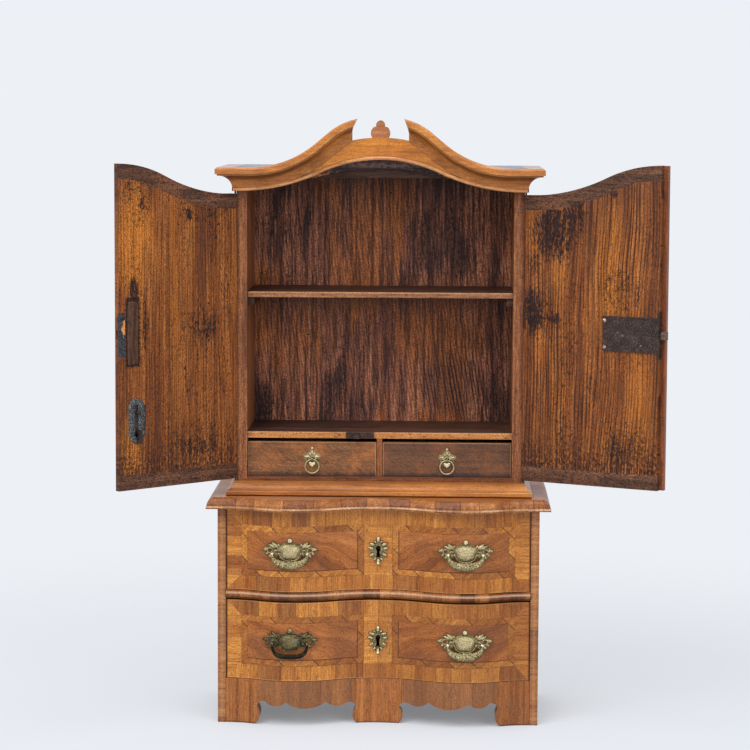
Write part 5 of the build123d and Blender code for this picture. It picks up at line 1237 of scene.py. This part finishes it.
def ring_pull(hand):
    """Raised leaves and a heart on a ring plate, and the smooth ring that hangs from its eye."""
    ring = f"small_drawer_{hand}_ring"
    low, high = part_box(ring)
    middle, ring_y = (low.x + high.x) / 2, (low.y + high.y) / 2
    eye_z = JOINTS[f"ring_{hand}_hinge"]["pos_m"][2]
    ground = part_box(f"{ring}_plate")[1].y - 1.0 * MM
    shape = begin()

    def raise_here(outline, *form):
        raise_form(shape, placed(outline, middle, eye_z), form[0], flat(ground), *form[1:])

    raise_here(rounded(LOZENGE, 3), 0.5, CUSHION, (0.1, 0.3), 1.2)
    for leaf in ENGRAVED:
        raise_here(leaf_outline(*leaf), 1.1, LEAF, (-0.2, 0.8))
    raise_here(rounded(HEART, 4), 1.5, CUSHION, (0.7, 1.0))
    turned(shape, (middle, ground + 0.3 * MM, eye_z + 13.4 * MM), (0, -1, 0), TIP, 14, 0.9)
    finish_piece(shape, f"{ring}_plate_relief", BRASS, f"small_drawer_{hand}")
    wire = begin()
    radius = (high.x - low.x) / 2 / MM - 1.0
    hoop(wire, (middle, ring_y, eye_z - radius * MM), (0, 1, 0), radius, 1.0, 56, 12, 0.55)
    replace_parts(finish_piece(wire, f"{ring}_wire", BRASS, f"ring_{hand}"), ring)


def rivets(name, joint, node, body, places, radius, rise, material):
    """Round heads on a leaf's ironwork, at distances out from the pin and heights."""
    pin, along, out = leaf_frame(joint)
    face = Face(node)
    shape = begin()
    head = [(radius, 0)]
    head += [(radius * wide, 0.3 + rise * high) for wide, high in ((1.0, 0.3), (0.8, 0.75), (0.35, 1.0))]
    for s, z in places:
        found = face.hit(Vector((pin.x, pin.y, z)) + along * s + out * 0.06, -out)
        turned(shape, found - out * 0.3 * MM, out, head, 18, 0.8)
    finish_piece(shape, name, material, body)


def leaf_point(shape, frame, out_along, up, stand, raised):
    """A point on a leaf: out from the pin and up in metres, and ahead of its inner face in millimetres."""
    pin, along, out = frame
    return point(shape, Vector((pin.x, pin.y, up)) + along * out_along + out * (stand * MM), raised)


def leaf_block(name, joint, body, at, half, thick, material):
    """A worn strip of wood let into a leaf's inner face, its corners and edges rounded."""
    leaf = leaf_frame(joint)
    shape = begin()
    rows = []
    sunk, inner = 1.0, 2.0
    for inset, height in ((0, -sunk), (0, 0.5 * thick), (0.4, 0.8 * thick), (1.2, thick)):
        row = []
        for k in range(48):
            turn = 2 * math.pi * k / 48
            wave = 0.35 * math.sin(5 * turn + 1.0) + 0.3 * math.sin(13 * turn)
            ds, dz = (
                math.copysign(abs(part) ** 0.25, part) * (reach / MM - inset + wave) * MM
                for part, reach in ((math.cos(turn), half[0]), (math.sin(turn), half[1]))
            )
            row.append(leaf_point(shape, leaf, at[0] + ds, at[1] + dz, inner + height, height / thick))
        rows.append(row)
    skin(shape, rows)
    for row in (rows[0], rows[-1]):
        shape.faces.new(row)
    finish_piece(shape, name, material, body, 35)


def slotted_plate(name, joint, body, at, half, slot, material):
    """A thin round-ended plate with an open slot, let into a leaf's inner face."""
    leaf = leaf_frame(joint)
    shape = begin()
    rows = []
    outside = [(half, 0.0, 1.4), (half, 0.0, 2.3), (half, -0.5, 2.6)]
    inside = [(slot, 0.6, 2.6), (slot, 0.0, 2.3), (slot, 0.0, 0.6)]
    for (wide, tall), wider, height in outside + inside:
        wide, tall = wide + wider * MM, tall + wider * MM
        row = []
        for k in range(64):
            turn = 2 * math.pi * (k + 0.5) / 64
            ds = wide * math.cos(turn)
            dz = wide * math.sin(turn) + math.copysign(tall - wide, math.sin(turn))
            row.append(leaf_point(shape, leaf, at[0] + ds, at[1] + dz, height, 0.5))
        rows.append(row)
    skin(shape, rows)
    finish_piece(shape, name, material, body, 35)


for tier, (_, pin_y, pin_z) in BAIL_PINS.items():
    handle_relief(tier, f"{tier}_drawer", pin_z, pin_y, tier == "lower")
    for hand, side in HANDS:
        garland(tier, hand, side, pin_y, pin_z, tier == "lower" and side < 0)
    keyhole_relief(tier, f"{tier}_drawer", pin_z)
for hand, _ in HANDS:
    ring_pull(hand)
LOCK = ("right_door_hinge", "right_door_lock", "right_door")
rivets("right_lock_rivets", *LOCK, [(0.1267, 0.4710), (0.1500, 0.4600)], 1.8, 1.0, BRIGHT_IRON)
# Lightened twelvefold, near white: painted highlights on the lock's corner rivets.
GLINT_PAINTED_IRON = iron("glint_painted_iron", 12.0)
rivets("right_lock_corner_rivets", *LOCK, [(0.1040, 0.4885), (0.1040, 0.4575)], 2.2, 1.3, GLINT_PAINTED_IRON)
LEFT_LEAF = ("left_door_hinge", "left_door")
leaf_block(
    "left_lock_block", *LEFT_LEAF, (0.15215, 0.474), (0.00765, 0.0365), 1.6,
    plain_wood("block_wood", "z", WORN_BLOCK, 60.0, 3.0, 0.5, 0.5),
)
slotted_plate(
    "left_flush_plate", *LEFT_LEAF, (0.1468, 0.372), (0.0118, 0.0262), (0.0024, 0.0190),
    iron("plate_iron", 1.0, 0.85),
)
STRIKE = ("left_door_hinge", "left_door_irons", "left_door")
rivets("left_strike_screw", *STRIKE, [(0.1668, 0.4925)], 2.6, 0.9, IRON)


# ------------------------------------------------------------------ floor, light and camera
PAPER = (237, 240, 245)
FLOOR_TINT = (203, 208, 217)
SHADOW_LIFT = 0.62  # share of the background's colour in the shadow, as the camera sees it
LIFT_LOST = 0.65  # how much of that goes again right under the feet and the apron


def floor():
    """A pale floor that keeps the object's shadow, darkened by painted contact shade right under the feet and
    the apron, and fades into the background further out.
    """
    mesh = bpy.data.meshes.new("floor")
    shape = bmesh.new()
    bmesh.ops.create_circle(shape, cap_ends=True, segments=96, radius=4.0)
    shape.to_mesh(mesh)
    shape.free()
    piece = linked("floor", mesh)
    piece.location = (0, 0.05, -0.0002)
    net = Finish("pale_floor")
    net.colour = FLOOR_TINT
    net.finish(0.9, gloss=0.1)
    # Painted contact shade: less of the lift where the object shelters the floor.
    lift = net.seen() * (1.0 - net.sheltered(0.12) * LIFT_LOST) * SHADOW_LIFT
    floor_light = Wire(net, net.shader.outputs[0])
    lifted = net.node("MixShader", {0: lift, 1: floor_light, 2: net.node("Emission", {"Color": PAPER})})
    distance = net.math("SQRT", net.x * net.x + net.y * net.y)
    faded = {0: distance.smooth(0.35, 1.3), 1: lifted, 2: net.node("BsdfTransparent")}
    net.set(net.output.inputs["Surface"], net.node("MixShader", faded))
    mesh.materials.append(net.material)


def background(level):
    """White paper for the camera and in reflections, plain soft light on the object."""
    world = bpy.data.worlds.new("studio")
    bpy.context.scene.world = world
    world.use_nodes = True
    net = Net(world.node_tree)
    light = net.node("Background", {"Color": (1.0, 0.985, 0.96), "Strength": level})
    paper = net.node("Background", {"Color": PAPER, "Strength": 1.0})
    net.add("OutputWorld", {"Surface": net.node("MixShader", {0: net.seen(), 1: light, 2: paper})})


def softbox(name, place, aim, size, power):
    """A rectangular lamp, aimed at a place."""
    lamp = bpy.data.lights.new(name, "AREA")
    lamp.shape = "RECTANGLE"
    lamp.size, lamp.size_y = size
    lamp.energy = power
    piece = linked(name, lamp)
    piece.location = place
    piece.rotation_euler = (Vector(aim) - Vector(place)).to_track_quat("-Z", "Y").to_euler()


CAMERA_PLACE = Vector((0.07798, -3.05394, 0.74030))
CAMERA_AIM = Vector((-0.00511, 0.0, 0.41864))
CAMERA_ROLL = math.radians(0.275)
LENS = 124.32


def camera():
    """The camera at the photograph's angle, its lens fitted to the photograph's square frame."""
    lens = bpy.data.cameras.new("camera")
    lens.sensor_fit = "HORIZONTAL"
    lens.sensor_width = 36.0
    lens.lens = LENS
    piece = linked("camera", lens)
    back = (CAMERA_PLACE - CAMERA_AIM).normalized()
    right = Vector((0, 0, 1)).cross(back).normalized()
    up = back.cross(right)
    c, s = math.cos(CAMERA_ROLL), math.sin(CAMERA_ROLL)
    turn = Matrix((right * c + up * s, up * c - right * s, back)).transposed().to_4x4()
    piece.matrix_world = Matrix.Translation(CAMERA_PLACE) @ turn
    bpy.context.scene.camera = piece


floor()
background(0.50)
softbox("key", (-1.2, -2.0, 2.6), (0, 0, 0.35), (2.0, 2.0), 64)
softbox("fill", (1.8, -2.2, 1.4), (0, 0, 0.35), (1.6, 1.6), 22)
softbox("top", (0.0, -0.3, 2.6), (0, 0, 0.3), (1.6, 1.2), 26)
softbox("low", (0.2, -2.6, 0.25), (0, 0, 0.20), (2.2, 0.4), 7)
camera()
bpy.context.scene.view_settings.view_transform = "Standard"
